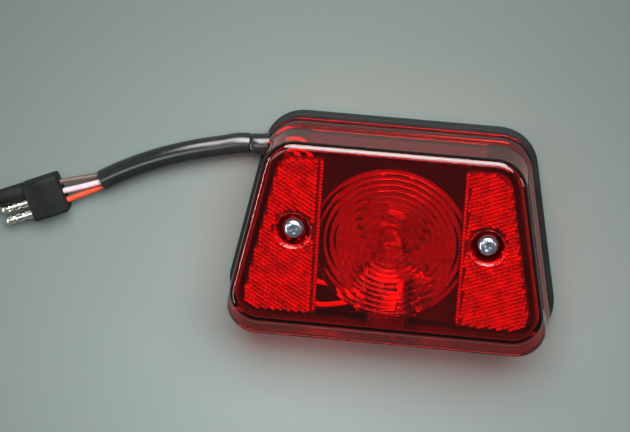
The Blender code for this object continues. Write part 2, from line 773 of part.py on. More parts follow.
def make_socket():
    axis = along_bulb()
    front = RIM_Y + SHELL_FRONT
    flange_top = FLANGE_Y + FLANGE_THICKNESS
    profile = (
        (SHELL_BORE_R, SHELL_BACK_Y),
        (SHELL_R, SHELL_BACK_Y),
        (SHELL_R, FLANGE_Y),
        (FLANGE_R, FLANGE_Y),
        (FLANGE_R, flange_top),
        (SHELL_R, flange_top),
        (SHELL_R, front),
        (SHELL_BORE_R, front),
    )
    shell = turned("socket_shell", profile, "zinc_steel", 32)
    half_pin = math.degrees((BULB_PIN_R + RUN) / SHELL_BORE_R)
    for angle, height in BULB_PINS:
        y = RIM_Y + height
        leg_top = y + BULB_PIN_R + RUN
        leg_low = y - BULB_PIN_R - RUN - PUSH_TRAVEL
        turn_span = TURN_ANGLE + 2 * half_pin
        cut(shell, slot_leg(leg_low, leg_top, angle - half_pin, turn_span))
        entry_start = angle + TURN_ANGLE - half_pin
        cut(shell, slot_leg(leg_top - 0.4, front + 2.0, entry_start, 2 * half_pin))
    place(shell, axis)

    cap = cylinder("socket_end_cap", SHELL_BORE_R - GAP, CAP_BACK_Y, CAP_FRONT_Y, "fibre")
    for x in (-CONTACT_X, CONTACT_X):
        hole = cylinder("hole", LEAD_R + GAP, CAP_BACK_Y - 2.0, CAP_FRONT_Y + 2.0, segments=12)
        cut(cap, place(hole, Matrix.Translation((x, 0, 0))))
    place(cap, axis)

    plate_top = BULB_Z + BRACKET_TOP_MARGIN
    half = BRACKET_HALF_WIDTH
    bracket = box(
        "socket_bracket",
        (-half, BRACKET_Y, FOOT_Z),
        (half, BRACKET_Y + BRACKET_THICKNESS, plate_top),
        "zinc_steel",
    )
    foot_front = BRACKET_Y + BRACKET_FOOT
    foot_top = FOOT_Z + BRACKET_THICKNESS
    foot = box("foot", (-half, BRACKET_Y + 0.2, FOOT_Z), (half, foot_front, foot_top))
    join(bracket, foot)
    bore = place(cylinder("bore", SHELL_R + GAP, BRACKET_Y - 3.0, BRACKET_Y + 4.0, segments=32), axis)
    cut(bracket, bore)
    for x in (-RIVET_X, RIVET_X):
        hole = cylinder("hole", RIVET_R + GAP, 0.0, BULB_Z, segments=16)
        cut(bracket, place(hole, Matrix.Translation((x, RIVET_Y, 0))))

    over_terminal = foot_top + GAP + TERMINAL_THICKNESS
    for side, x, seat in (("left", -RIVET_X, foot_top), ("right", RIVET_X, over_terminal)):
        head = seat + GAP
        profile = (
            (0.0, TRAY_Z + GAP),
            (RIVET_R, TRAY_Z + GAP),
            (RIVET_R, head),
            (RIVET_HEAD_R, head),
            (RIVET_HEAD_R - 0.4, head + RIVET_HEAD * 0.6),
            (RIVET_HEAD_R - 1.4, head + RIVET_HEAD),
            (0.0, head + RIVET_HEAD),
        )
        rivet = turned(f"bracket_rivet_{side}", profile, "bright_steel", 16)
        place(rivet, Matrix.Translation((x, RIVET_Y, 0)))


def make_contacts():
    axis = along_bulb()
    disc = cylinder("contact_disc", SHELL_BORE_R - RUN, DISC_BACK_Y, DISC_FRONT_Y, "fibre")
    for x in (-CONTACT_X, CONTACT_X):
        hole = cylinder("hole", BUTTON_SHANK_R + GAP, DISC_BACK_Y - 2.0, DISC_FRONT_Y + 2.0, segments=12)
        cut(disc, place(hole, Matrix.Translation((x, 0, 0))))
    place(disc, axis)
    for label, x in (("tail", -CONTACT_X), ("stop", CONTACT_X)):
        button = turned(
            f"socket_contact_{label}",
            (
                (0.0, DISC_BACK_Y - BUTTON_SHANK),
                (BUTTON_SHANK_R, DISC_BACK_Y - BUTTON_SHANK),
                (BUTTON_SHANK_R, DISC_FRONT_Y + GAP),
                (BUTTON_R, DISC_FRONT_Y + GAP),
                (BUTTON_R, BUTTON_FRONT_Y - 0.3),
                (BUTTON_R - 0.5, BUTTON_FRONT_Y),
                (0.0, BUTTON_FRONT_Y),
            ),
            "brass",
            14,
        )
        place(button, axis @ Matrix.Translation((x, 0, 0)))

    turns = SPRING_TURNS
    count = round(turns * 14)
    low = SPRING_FRONT_Y - SPRING_LENGTH + SPRING_WIRE_R
    rise = SPRING_LENGTH - 2 * SPRING_WIRE_R
    coil = []
    for step in range(count + 1):
        angle = 2 * math.pi * turns * step / count
        coil.append(
            (SPRING_R * math.cos(angle), low + rise * step / count, BULB_Z + SPRING_R * math.sin(angle))
        )
    tube("contact_spring", coil, SPRING_WIRE_R, "spring_steel", 1)


# Inner leads

def make_leads():
    lead_z = PLATE_TOP_Z + GAP + LEAD_R
    boot_x = BOOT_INNER_X + GAP
    floor_routes = {
        "tail": (
            (-8.0, -39.0, 9.6),
            (-14.0, -35.8, 7.6),
            (-22.0, -37.0, lead_z),
            (-33.0, -39.4, lead_z),
            (-45.0, -33.6, lead_z),
            (-52.2, -18.0, lead_z),
            (-53.0, -2.0, lead_z),
            (-51.6, 12.0, lead_z),
            (-48.4, 21.0, lead_z),
            (-46.0, 25.6, lead_z),
            (boot_x + 2.4, BOOT_CENTRE_Y - 2.9, lead_z),
            (boot_x, BOOT_CENTRE_Y - 2.7, lead_z),
        ),
        "stop": (
            (2.4, -40.4, 9.6),
            (0.0, -37.6, 8.4),
            (-5.0, -34.8, 8.3),
            (-13.0, -33.2, 9.2),
            (-22.0, -36.2, 9.3),
            (-33.0, -37.0, 8.7),
            (-42.0, -29.0, lead_z),
            (-47.6, -14.0, lead_z),
            (-49.0, 2.0, lead_z),
            (-46.0, 17.0, lead_z),
            (-42.4, 26.0, lead_z),
            (boot_x + 4.0, BOOT_CENTRE_Y - 0.2, lead_z),
            (boot_x, BOOT_CENTRE_Y, lead_z),
        ),
    }
    for label, x, colour in (("tail", -CONTACT_X, "orange"), ("stop", CONTACT_X, "white")):
        drop = (
            (x, CAP_FRONT_Y - 0.4, BULB_Z),
            (x, SHELL_BACK_Y - GAP, BULB_Z),
            (x, LEAD_DROP_Y, BULB_Z - 1.8),
            (x, LEAD_DROP_Y, BULB_Z - 6.0),
        )
        tube(f"lead_{label}", smooth_route(drop + floor_routes[label], 2.0), LEAD_R, f"wire_{colour}", 1)
    tab_z = FOOT_Z + BRACKET_THICKNESS + GAP
    tab_top = tab_z + TERMINAL_THICKNESS
    terminal = ring("ground_terminal", RIVET_R + GAP, TERMINAL_R, tab_z, tab_top, "brass", 16)
    place(terminal, Matrix.Translation((RIVET_X, RIVET_Y, 0)))
    tab_end = RIVET_X - TERMINAL_R - 3.0
    tab = box(
        "tab",
        (tab_end, RIVET_Y - 1.3, tab_z),
        (RIVET_X - TERMINAL_R + 1.0, RIVET_Y + 1.3, tab_top),
    )
    join(terminal, tab)
    wire_z = FOOT_Z + BRACKET_THICKNESS + GAP + LEAD_R
    route = (
        (tab_end - GAP - LEAD_R, RIVET_Y, wire_z),
        (-3.5, -24.4, wire_z),
        (-13.0, -26.7, wire_z),
        (-20.0, -28.0, 7.4),
        (-29.5, -28.2, lead_z),
        (-37.4, -25.4, lead_z),
        (-38.8, -17.0, lead_z),
        (-34.9, -5.0, lead_z),
        (-34.2, 8.0, lead_z),
        (-35.0, 18.0, lead_z),
        (-37.5, 28.0, lead_z),
        (boot_x + 7.0, BOOT_CENTRE_Y + 2.5, lead_z),
        (boot_x, BOOT_CENTRE_Y + 2.7, lead_z),
    )
    tube("lead_ground", smooth_route(route, 2.0), LEAD_R, "wire_brown", 1)


# Boot, cord and plug

def make_cord():
    boot_solid("cord_boot", 0.0, BOOT_FACE_X, BOOT_INNER_X, "vinyl_black")
    points = [(BOOT_FACE_X + x, y, CORD_Z) for x, y in CORD_ROUTE]
    sleeve = smooth_route(points, 5 * CORD_R)
    sleeve.insert(1, sleeve[0] - Vector((CORD_R, 0, 0)))  # leaves the boot square to its face
    tube("cord_sleeve", sleeve, CORD_R, "vinyl_black", 3)
    sleeve_end = Vector(points[-1])
    heading = (sleeve_end - Vector(points[-2])).normalized()
    across = Vector((heading.y, -heading.x, 0))
    plug_heading = Matrix.Rotation(math.radians(PLUG_ANGLE), 3, "Z") @ Vector((1, 0, 0))
    plug_across = Vector((plug_heading.y, -plug_heading.x, 0))
    back = plug_place().to_translation()
    for lane, (colour, rise) in enumerate((("brown", -0.2), ("white", 1.4), ("orange", -0.2))):
        side = 1.0 - lane
        lift = Vector((0, 0, rise))
        start = sleeve_end + heading * GAP + across * (side * 2.6) + lift
        end = back - plug_heading * GAP + plug_across * (side * WIRE_SPREAD)
        middle = (start + end) / 2 + lift * 0.3
        tube(f"wire_{colour}", smooth_route((start, middle, end), 3.2), WIRE_R, f"wire_{colour}", 2)


def plug_place():
    x, y = PLUG_BACK
    turn = Matrix.Rotation(math.radians(PLUG_ANGLE), 4, "Z")
    return Matrix.Translation((BOOT_FACE_X + x, y, CORD_Z)) @ turn


def along_plug():
    """Turns Z into the plug's own X, so that a height h is h ahead of the plug's back."""
    return Matrix.Rotation(math.radians(90), 4, "Y")


def make_plug():
    half = PLUG_WIDTH / 2
    deep = PLUG_HEIGHT / 2
    corners = ((-half, -deep), (half, -deep), (half, deep), (-half, deep))
    section = rounded_polygon(corners, (PLUG_CORNER,) * 4, 5)
    small = rounded_polygon([(x * 0.93, y * 0.9) for x, y in corners], (PLUG_CORNER * 0.85,) * 4, 5)
    shape = bmesh.new()
    loops = []
    for outline, x in ((small, 0.0), (section, 1.5), (section, PLUG_LENGTH)):
        loops.append([shape.verts.new((x, point.x, point.y)) for point in outline])
    shape.faces.new(loops[0])
    shape.faces.new(loops[-1])
    for lower, upper in zip(loops, loops[1:]):
        for index in range(len(lower)):
            after = (index + 1) % len(lower)
            shape.faces.new((lower[index], lower[after], upper[after], upper[index]))
    body = add_object("plug_body", shape, "plug_rubber")
    shroud_end = PLUG_LENGTH + SHROUD_LENGTH
    shroud = cylinder("shroud", SHROUD_R, PLUG_LENGTH - 1.0, shroud_end, segments=20)
    place(shroud, along_plug())
    join(body, place(shroud, Matrix.Translation((0, -PIN_PITCH, 0))))
    bore_r = SOCKET_R + TERMINAL_WALL + GAP
    bore = cylinder("bore", bore_r, PLUG_LENGTH - 3.0, shroud_end + 3.0, segments=20)
    place(bore, along_plug())
    cut(body, place(bore, Matrix.Translation((0, -PIN_PITCH, 0))))
    for y in (0.0, PIN_PITCH):
        hole = place(cylinder("hole", PIN_R + GAP, PLUG_LENGTH - 4.0, shroud_end, segments=20), along_plug())
        cut(body, place(hole, Matrix.Translation((0, y, 0))))
    place(body, plug_place())

    for number, y in ((1, 0.0), (2, PIN_PITCH)):
        end = PLUG_LENGTH + PIN_LENGTH
        waist = PIN_R - PIN_WAIST
        profile = [(0.0, PLUG_LENGTH - 4.0 + GAP), (PIN_R, PLUG_LENGTH - 4.0 + GAP)]
        for low, high in ((0.28, 0.34), (0.58, 0.68)):
            profile.append((PIN_R, PLUG_LENGTH + PIN_LENGTH * low - 0.4))
            profile.append((waist, PLUG_LENGTH + PIN_LENGTH * low))
            profile.append((waist, PLUG_LENGTH + PIN_LENGTH * high))
            profile.append((PIN_R, PLUG_LENGTH + PIN_LENGTH * high + 0.4))
        profile += [(PIN_R, end - 1.6), (PIN_R - 0.7, end - 0.4), (PIN_R - 1.3, end), (0.0, end)]
        pin = place(turned(f"plug_pin_{number}", profile, "nickel", 16), along_plug())
        place(pin, plug_place() @ Matrix.Translation((0, y, 0)))
    terminal = ring(
        "plug_socket_terminal",
        SOCKET_R,
        SOCKET_R + TERMINAL_WALL,
        PLUG_LENGTH - 3.0 + GAP,
        shroud_end - 1.0,
        "nickel",
        16,
    )
    place(terminal, along_plug())
    place(terminal, plug_place() @ Matrix.Translation((0, -PIN_PITCH, 0)))


make_pad()
make_housing()
make_gasket()
make_inserts()
make_plate()
make_lens()
make_reflex_panels()
make_lens_screws()
make_bulb()
make_socket()
make_contacts()
make_leads()
make_cord()
make_plug()
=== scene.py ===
import math

import bmesh
import bpy
from mathutils import Matrix, Vector


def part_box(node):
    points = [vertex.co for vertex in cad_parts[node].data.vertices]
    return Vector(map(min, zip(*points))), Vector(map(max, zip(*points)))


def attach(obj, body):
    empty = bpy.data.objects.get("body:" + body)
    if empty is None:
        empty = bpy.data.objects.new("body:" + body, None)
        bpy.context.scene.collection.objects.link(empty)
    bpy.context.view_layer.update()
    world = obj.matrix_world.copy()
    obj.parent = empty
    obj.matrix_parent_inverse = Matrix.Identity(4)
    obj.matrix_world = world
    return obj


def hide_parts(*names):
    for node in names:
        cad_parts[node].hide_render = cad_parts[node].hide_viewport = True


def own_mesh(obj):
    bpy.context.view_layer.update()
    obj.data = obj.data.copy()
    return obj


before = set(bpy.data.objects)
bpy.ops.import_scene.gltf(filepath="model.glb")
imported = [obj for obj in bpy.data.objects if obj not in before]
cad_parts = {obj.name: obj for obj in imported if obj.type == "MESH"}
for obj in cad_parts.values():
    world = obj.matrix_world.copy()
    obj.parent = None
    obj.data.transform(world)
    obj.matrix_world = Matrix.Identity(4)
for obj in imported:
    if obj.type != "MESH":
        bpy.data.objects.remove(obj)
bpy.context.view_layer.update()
mm = 0.001  # sizes below are in millimetres
print("frame loaded with", len(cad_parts), "nodes")


def boxOf(node):
    low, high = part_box(node)
    return Vector(low) / mm, Vector(high) / mm


cameraPlace = {
    "target": (-31.98, 13.38, 38.5),
    "distance": 1100.0,
    "tilt": 0.349,  # towards the lamp's top
    "yaw": 0.0845,  # towards the lamp's right
    "roll": 0.0893,
    "lens": 149.96,
}


def makeCamera(place):
    sinYaw, cosYaw = math.sin(place["yaw"]), math.cos(place["yaw"])
    sinTilt, cosTilt = math.sin(place["tilt"]), math.cos(place["tilt"])
    back = Vector((sinYaw, cosYaw * sinTilt, cosYaw * cosTilt))
    level = Vector((cosYaw, -sinYaw * sinTilt, -sinYaw * cosTilt))
    upright = back.cross(level)
    right = level * math.cos(place["roll"]) + upright * math.sin(place["roll"])
    up = back.cross(right)
    cameraData = bpy.data.cameras.new("camera")
    cameraData.lens = place["lens"]
    cameraData.sensor_width = 36.0
    cameraData.clip_start = 0.01
    camera = bpy.data.objects.new("camera", cameraData)
    turn = Matrix((right, up, back)).transposed().to_4x4()
    spot = (Vector(place["target"]) + back * place["distance"]) * mm
    camera.matrix_world = Matrix.Translation(spot) @ turn
    bpy.context.scene.collection.objects.link(camera)
    bpy.context.scene.camera = camera


stageLook = {
    "floorSide": 6000.0,
    "floorDrop": 0.2,
    "floorLitNear": (0.30, 0.365, 0.342),  # painted light: the table is brighter on the viewer's side
    "floorDimFar": (0.16, 0.198, 0.176),
    "floorBlend": (-150.0, 190.0),  # y where the one turns into the other
    "floorLightCentre": (-45.0, -55.0, 0.0),  # the middle of a painted pool of light
    "floorLightFade": (0.0, 170.0, 1.0, 0.6),  # distances, and the painted brightness at each
    "floorLightStretch": 0.6,  # the painted pool of light fades slower along Y
    "worldColour": (0.80, 0.90, 0.92),
    "worldStrength": 0.13,
    "lampAim": (0.0, 0.0, 20.0),  # the point that every lamp faces
}
# glossOnly lamps show in reflections and light nothing
lamps = {
    "key": {
        "place": (120.0, 660.0, 800.0),
        "size": (1000.0, 560.0),
        "watts": 22.0,
        "colour": (1.0, 0.98, 0.99),
        "glossOnly": False,
    },
    "overhead": {
        "place": (-480.0, 60.0, 1150.0),
        "size": (420.0, 420.0),
        "watts": 2.0,
        "colour": (0.95, 1.0, 0.99),
        "glossOnly": False,
    },
    "side": {
        "place": (900.0, 150.0, 420.0),
        "size": (300.0, 500.0),
        "watts": 1.6,
        "colour": (0.97, 0.95, 1.0),
        "glossOnly": False,
    },
    "glint": {
        "place": (0.0, 258.0, 1100.0),
        "size": (120.0, 12.0),
        "watts": 0.4,
        "colour": (0.86, 0.80, 1.0),
        "glossOnly": False,
    },
    "leftStrip": {
        "place": (-800.0, -200.0, 560.0),
        "size": (900.0, 90.0),
        "watts": 5.0,
        "colour": (1.0, 0.93, 0.86),
        "glossOnly": True,
    },
    "softbox": {
        "place": (-60.0, 950.0, 490.0),
        "size": (1150.0, 650.0),
        "watts": 31.0,
        "colour": (1.0, 0.97, 0.92),
        "glossOnly": True,
    },
}


def makeLamp(name, lamp):
    light = bpy.data.lights.new(name, "AREA")
    light.shape = "RECTANGLE"
    light.size, light.size_y = (side * mm for side in lamp["size"])
    light.energy = lamp["watts"]
    light.color = lamp["colour"]
    made = bpy.data.objects.new(name, light)
    made.visible_diffuse = not lamp["glossOnly"]
    made.visible_transmission = made.visible_diffuse
    spot = Vector(lamp["place"]) * mm
    made.location = spot
    aim = Vector(stageLook["lampAim"]) * mm - spot
    made.rotation_euler = aim.to_track_quat("-Z", "Y").to_euler()
    bpy.context.scene.collection.objects.link(made)


def makeStage(look):
    world = bpy.data.worlds.new("studio")
    world.use_nodes = True
    background = world.node_tree.nodes["Background"]
    background.inputs["Color"].default_value = (*look["worldColour"], 1)
    background.inputs["Strength"].default_value = look["worldStrength"]
    bpy.context.scene.world = world
    bpy.context.scene.view_settings.view_transform = "Standard"
    half = look["floorSide"] / 2
    shape = bmesh.new()
    drop = -look["floorDrop"] * mm
    shape.faces.new([shape.verts.new((x * mm, y * mm, drop)) for x, y in rectangle(half, half)])
    floor = objectFrom("floor", shape)
    material = bpy.data.materials.new("tablePaper")
    material.use_nodes = True
    nodes, links = material.node_tree.nodes, material.node_tree.links
    shader = nodes["Principled BSDF"]
    shader.inputs["Roughness"].default_value = 0.6
    shader.inputs["Specular IOR Level"].default_value = 0.0
    # painted light: the floor's colour darkens away from the viewer and away from one bright spot
    coordinates = nodes.new("ShaderNodeTexCoord")
    apart = nodes.new("ShaderNodeSeparateXYZ")
    links.new(coordinates.outputs["Object"], apart.inputs[0])
    across = nodes.new("ShaderNodeMapRange")
    across.inputs["From Min"].default_value = look["floorBlend"][0] * mm
    across.inputs["From Max"].default_value = look["floorBlend"][1] * mm
    across.interpolation_type = "SMOOTHSTEP"
    links.new(apart.outputs["Y"], across.inputs["Value"])
    colours = (*look["floorLitNear"], 1), (*look["floorDimFar"], 1)
    blend = mixColours(material, across.outputs["Result"], *colours)
    centreX, centreY, centreZ = look["floorLightCentre"]
    stretch = look["floorLightStretch"]
    centred = nodes.new("ShaderNodeMapping")
    centred.inputs["Location"].default_value = (-centreX * mm, -centreY * stretch * mm, centreZ)
    centred.inputs["Scale"].default_value = (1.0, stretch, 1.0)
    links.new(coordinates.outputs["Object"], centred.inputs["Vector"])
    away = nodes.new("ShaderNodeVectorMath")
    away.operation = "LENGTH"
    links.new(centred.outputs["Vector"], away.inputs[0])
    near, far, bright, dim = look["floorLightFade"]
    fade = spread(material, away.outputs["Value"], bright, dim, near * mm, far * mm)
    faded = mixColours(material, fade, (0.0, 0.0, 0.0, 1), blend)
    links.new(faded, shader.inputs["Base Color"])
    floor.data.materials.append(material)


def objectFrom(name, shape):
    mesh = bpy.data.meshes.new(name)
    shape.to_mesh(mesh)
    shape.free()
    made = bpy.data.objects.new(name, mesh)
    bpy.context.scene.collection.objects.link(made)
    return made


# the bmesh in millimetres as an object with its faces outwards
def solidFrom(name, shape, smoothAngle=32.0):
    bmesh.ops.recalc_face_normals(shape, faces=shape.faces)
    bmesh.ops.scale(shape, vec=(mm, mm, mm), verts=shape.verts)
    made = objectFrom(name, shape)
    smoothSides(made.data, smoothAngle)
    return made


def smoothSides(mesh, angle=32.0):
    mesh.shade_smooth()
    mesh.set_sharp_from_angle(angle=math.radians(angle))


def applyModifiers(made):
    bpy.context.view_layer.update()
    graph = bpy.context.evaluated_depsgraph_get()
    mesh = bpy.data.meshes.new_from_object(made.evaluated_get(graph))
    made.modifiers.clear()
    made.data = mesh
    return made


def combine(target, other, operation="DIFFERENCE", smoothAngle=32.0):
    modifier = target.modifiers.new("combine", "BOOLEAN")
    modifier.operation = operation
    modifier.object = other
    modifier.solver = "EXACT"
    applyModifiers(target)
    bpy.data.objects.remove(other, do_unlink=True)
    shape = bmesh.new()
    shape.from_mesh(target.data)
    bmesh.ops.triangulate(shape, faces=[face for face in shape.faces if len(face.verts) > 4])
    shape.to_mesh(target.data)
    shape.free()
    smoothSides(target.data, smoothAngle)
    return target


def softenEdges(made, width, segments=2, angle=40.0):
    modifier = made.modifiers.new("soften", "BEVEL")
    modifier.width = width * mm
    modifier.segments = segments
    modifier.limit_method = "ANGLE"
    modifier.angle_limit = math.radians(angle)
    modifier.use_clamp_overlap = True
    modifier.harden_normals = False
    applyModifiers(made)
    smoothSides(made.data, 50.0)
    return made


# points of a polygon, anticlockwise, with an arc at each corner
def roundedPolygon(corners, radii, steps):
    points = []
    for index, corner in enumerate(corners):
        here = Vector(corner)
        before = (Vector(corners[index - 1]) - here).normalized()
        after = (Vector(corners[(index + 1) % len(corners)]) - here).normalized()
        half = before.angle(after) / 2
        centre = here + (before + after).normalized() * (radii[index] / math.sin(half))
        start = here + before * (radii[index] / math.tan(half)) - centre
        turn = math.pi - 2 * half
        for step in range(steps + 1):
            points.append(centre + Matrix.Rotation(turn * step / steps, 2) @ start)
    return points


def rectangle(x, y):
    return ((-x, -y), (x, -y), (x, y), (-x, y))


# a solid through rings of 3D points that all have the same count
def skin(name, loops, smoothAngle=32.0):
    shape = bmesh.new()
    rings = [[shape.verts.new(point) for point in loop] for loop in loops]
    shape.faces.new(rings[0])
    shape.faces.new(rings[-1])
    for lower, upper in zip(rings, rings[1:]):
        for index in range(len(lower)):
            after = (index + 1) % len(lower)
            shape.faces.new((lower[index], lower[after], upper[after], upper[index]))
    return solidFrom(name, shape, smoothAngle)


def loft(name, rings, smoothAngle=32.0):
    loops = [[(point.x, point.y, z) for point in outline] for outline, z in rings]
    return skin(name, loops, smoothAngle)


# a closed profile of (radius, height) turned round Z, then placed by matrix in millimetres
def turned(name, profile, segments, matrix, smoothAngle=32.0):
    shape = bmesh.new()
    points = [shape.verts.new((radius, 0.0, height)) for radius, height in profile]
    edges = [shape.edges.new(pair) for pair in zip(points, points[1:])]
    if profile[0][0] > 0 or profile[-1][0] > 0:
        edges.append(shape.edges.new((points[-1], points[0])))
    bmesh.ops.spin(
        shape,
        geom=points + edges,
        cent=(0, 0, 0),
        axis=(0, 0, 1),
        angle=2 * math.pi,
        steps=segments,
    )
    bmesh.ops.remove_doubles(shape, verts=shape.verts, dist=0.0005)
    bmesh.ops.transform(shape, matrix=matrix, verts=shape.verts)
    return solidFrom(name, shape, smoothAngle)


def rod(name, radius, low, high, segments, matrix):
    profile = ((0.0, low), (radius, low), (radius, high), (0.0, high))
    return turned(name, profile, segments, matrix)


def block(name, low, high, matrix=None):
    shape = bmesh.new()
    bmesh.ops.create_cube(shape, size=1.0)
    bmesh.ops.scale(shape, vec=Vector(high) - Vector(low), verts=shape.verts)
    bmesh.ops.translate(shape, vec=(Vector(high) + Vector(low)) / 2, verts=shape.verts)
    if matrix is not None:
        bmesh.ops.transform(shape, matrix=matrix, verts=shape.verts)
    return solidFrom(name, shape)


# puts the other meshes into target's mesh as they are
def joined(target, *others):
    shape = bmesh.new()
    shape.from_mesh(target.data)
    for other in others:
        shape.from_mesh(other.data)
        bpy.data.objects.remove(other, do_unlink=True)
    shape.to_mesh(target.data)
    shape.free()
    return target


def smoothRoute(points, spacing):
    points = [Vector(point) for point in points]
    ends = [2 * points[0] - points[1]] + points + [2 * points[-1] - points[-2]]
    dense = []
    for a, b, c, d in zip(ends, ends[1:], ends[2:], ends[3:]):
        count = max(2, round((c - b).length / spacing))
        for step in range(count):
            t = step / count
            cubic = (2 * a - 5 * b + 4 * c - d) * t**2 + (3 * b - a - 3 * c + d) * t**3
            dense.append(0.5 * (2 * b + (c - a) * t + cubic))
    dense.append(points[-1])
    return dense


def tubeCurve(name, points, radius, resolution=6):
    curve = bpy.data.curves.new(name, "CURVE")
    curve.dimensions = "3D"
    curve.bevel_depth = radius * mm
    curve.bevel_resolution = resolution
    curve.use_fill_caps = True
    spline = curve.splines.new("POLY")
    spline.points.add(len(points) - 1)
    for spot, point in zip(spline.points, points):
        spot.co = (*(Vector(point) * mm), 1.0)
    spline.use_smooth = True
    made = bpy.data.objects.new(name, curve)
    bpy.context.scene.collection.objects.link(made)
    return made


# a merged copy of a CAD node with its edges softened
def reworked(node, name, softened=0.0, smoothAngle=32.0):
    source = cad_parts[node]
    shape = bmesh.new()
    shape.from_mesh(source.data)
    bmesh.ops.remove_doubles(shape, verts=shape.verts, dist=2e-6)
    flat = math.radians(1.0)
    bmesh.ops.dissolve_limit(shape, angle_limit=flat, verts=shape.verts, edges=shape.edges)
    made = objectFrom(name, shape)
    smoothSides(made.data, smoothAngle)
    if softened:
        softenEdges(made, softened)
    return made


def mixColours(material, factor, first, second):
    nodes, links = material.node_tree.nodes, material.node_tree.links
    mix = nodes.new("ShaderNodeMix")
    mix.data_type = "RGBA"
    links.new(factor, mix.inputs[0])
    for socket, colour in ((mix.inputs[6], first), (mix.inputs[7], second)):
        if isinstance(colour, tuple):
            socket.default_value = colour
        else:
            links.new(colour, socket)
    return mix.outputs[2]


# a noise on the piece's own coordinates. The scale is waves per metre
def noise(material, scale, detail=4.0, stretch=(1.0, 1.0, 1.0)):
    nodes, links = material.node_tree.nodes, material.node_tree.links
    coordinates = nodes.new("ShaderNodeTexCoord")
    mapping = nodes.new("ShaderNodeMapping")
    mapping.inputs["Scale"].default_value = stretch
    texture = nodes.new("ShaderNodeTexNoise")
    texture.inputs["Scale"].default_value = scale
    texture.inputs["Detail"].default_value = detail
    links.new(coordinates.outputs["Object"], mapping.inputs["Vector"])
    links.new(mapping.outputs["Vector"], texture.inputs["Vector"])
    return texture.outputs["Fac"]


def spread(material, value, low, high, fromLow=0.35, fromHigh=0.65):
    nodes, links = material.node_tree.nodes, material.node_tree.links
    node = nodes.new("ShaderNodeMapRange")
    node.inputs["From Min"].default_value = fromLow
    node.inputs["From Max"].default_value = fromHigh
    node.inputs["To Min"].default_value = low
    node.inputs["To Max"].default_value = high
    links.new(value, node.inputs["Value"])
    return node.outputs["Result"]


def bumped(material, height, strength, distance):
    nodes, links = material.node_tree.nodes, material.node_tree.links
    bump = nodes.new("ShaderNodeBump")
    bump.inputs["Strength"].default_value = strength
    bump.inputs["Distance"].default_value = distance * mm
    links.new(height, bump.inputs["Height"])
    links.new(bump.outputs["Normal"], nodes["Principled BSDF"].inputs["Normal"])


# two colours in soft patches, uneven roughness and a fine grain
def surface(
    name,
    colours,
    roughness,
    metallic=0.0,
    patch=90.0,
    grain=1500.0,
    bump=0.2,
    depth=0.02,
    stretch=(1.0, 1.0, 1.0),
    specular=0.5,
):
    material = bpy.data.materials.new(name)
    material.use_nodes = True
    links = material.node_tree.links
    shader = material.node_tree.nodes["Principled BSDF"]
    shader.inputs["Metallic"].default_value = metallic
    shader.inputs["Specular IOR Level"].default_value = specular
    patches = noise(material, patch, 5.0, stretch)
    fine = noise(material, grain, 3.0, stretch)
    share = spread(material, patches, 0.0, 1.0)
    first, second = ((*colour, 1) for colour in colours)
    links.new(mixColours(material, share, first, second), shader.inputs["Base Color"])
    links.new(spread(material, patches, roughness[0], roughness[1]), shader.inputs["Roughness"])
    bumped(material, fine, bump, depth)
    return material


# painted shade: fades the colour to a dark one below a height in millimetres
def paintedShadeBelow(material, low, high, colour):
    nodes, links = material.node_tree.nodes, material.node_tree.links
    socket = nodes["Principled BSDF"].inputs["Base Color"]
    plain = socket.links[0].from_socket
    coordinates = nodes.new("ShaderNodeTexCoord")
    apart = nodes.new("ShaderNodeSeparateXYZ")
    links.new(coordinates.outputs["Object"], apart.inputs[0])
    share = spread(material, apart.outputs["Z"], 0.0, 1.0, low * mm, high * mm)
    links.new(mixColours(material, share, (*colour, 1), plain), socket)


# a clear plastic or glass that lets lamps shine through it
def makeClearPlastic(name, tint, shadowTint, roughness, ior, mottle=0.0):
    material = bpy.data.materials.new(name)
    material.use_nodes = True
    nodes, links = material.node_tree.nodes, material.node_tree.links
    shader = nodes["Principled BSDF"]
    shader.inputs["Transmission Weight"].default_value = 1.0
    shader.inputs["IOR"].default_value = ior
    patches = noise(material, 40.0, 2.0)
    darker = tuple(channel * (1 - mottle) for channel in tint)
    links.new(mixColours(material, patches, (*darker, 1), (*tint, 1)), shader.inputs["Base Color"])
    uneven = spread(material, noise(material, 300.0), roughness[0], roughness[1])
    links.new(uneven, shader.inputs["Roughness"])
    letThrough = nodes.new("ShaderNodeBsdfTransparent")
    letThrough.inputs["Color"].default_value = (*shadowTint, 1)
    path = nodes.new("ShaderNodeLightPath")
    either = nodes.new("ShaderNodeMixShader")
    links.new(path.outputs["Is Shadow Ray"], either.inputs[0])
    links.new(shader.outputs[0], either.inputs[1])
    links.new(letThrough.outputs[0], either.inputs[2])
    links.new(either.outputs[0], nodes["Material Output"].inputs["Surface"])
    return material


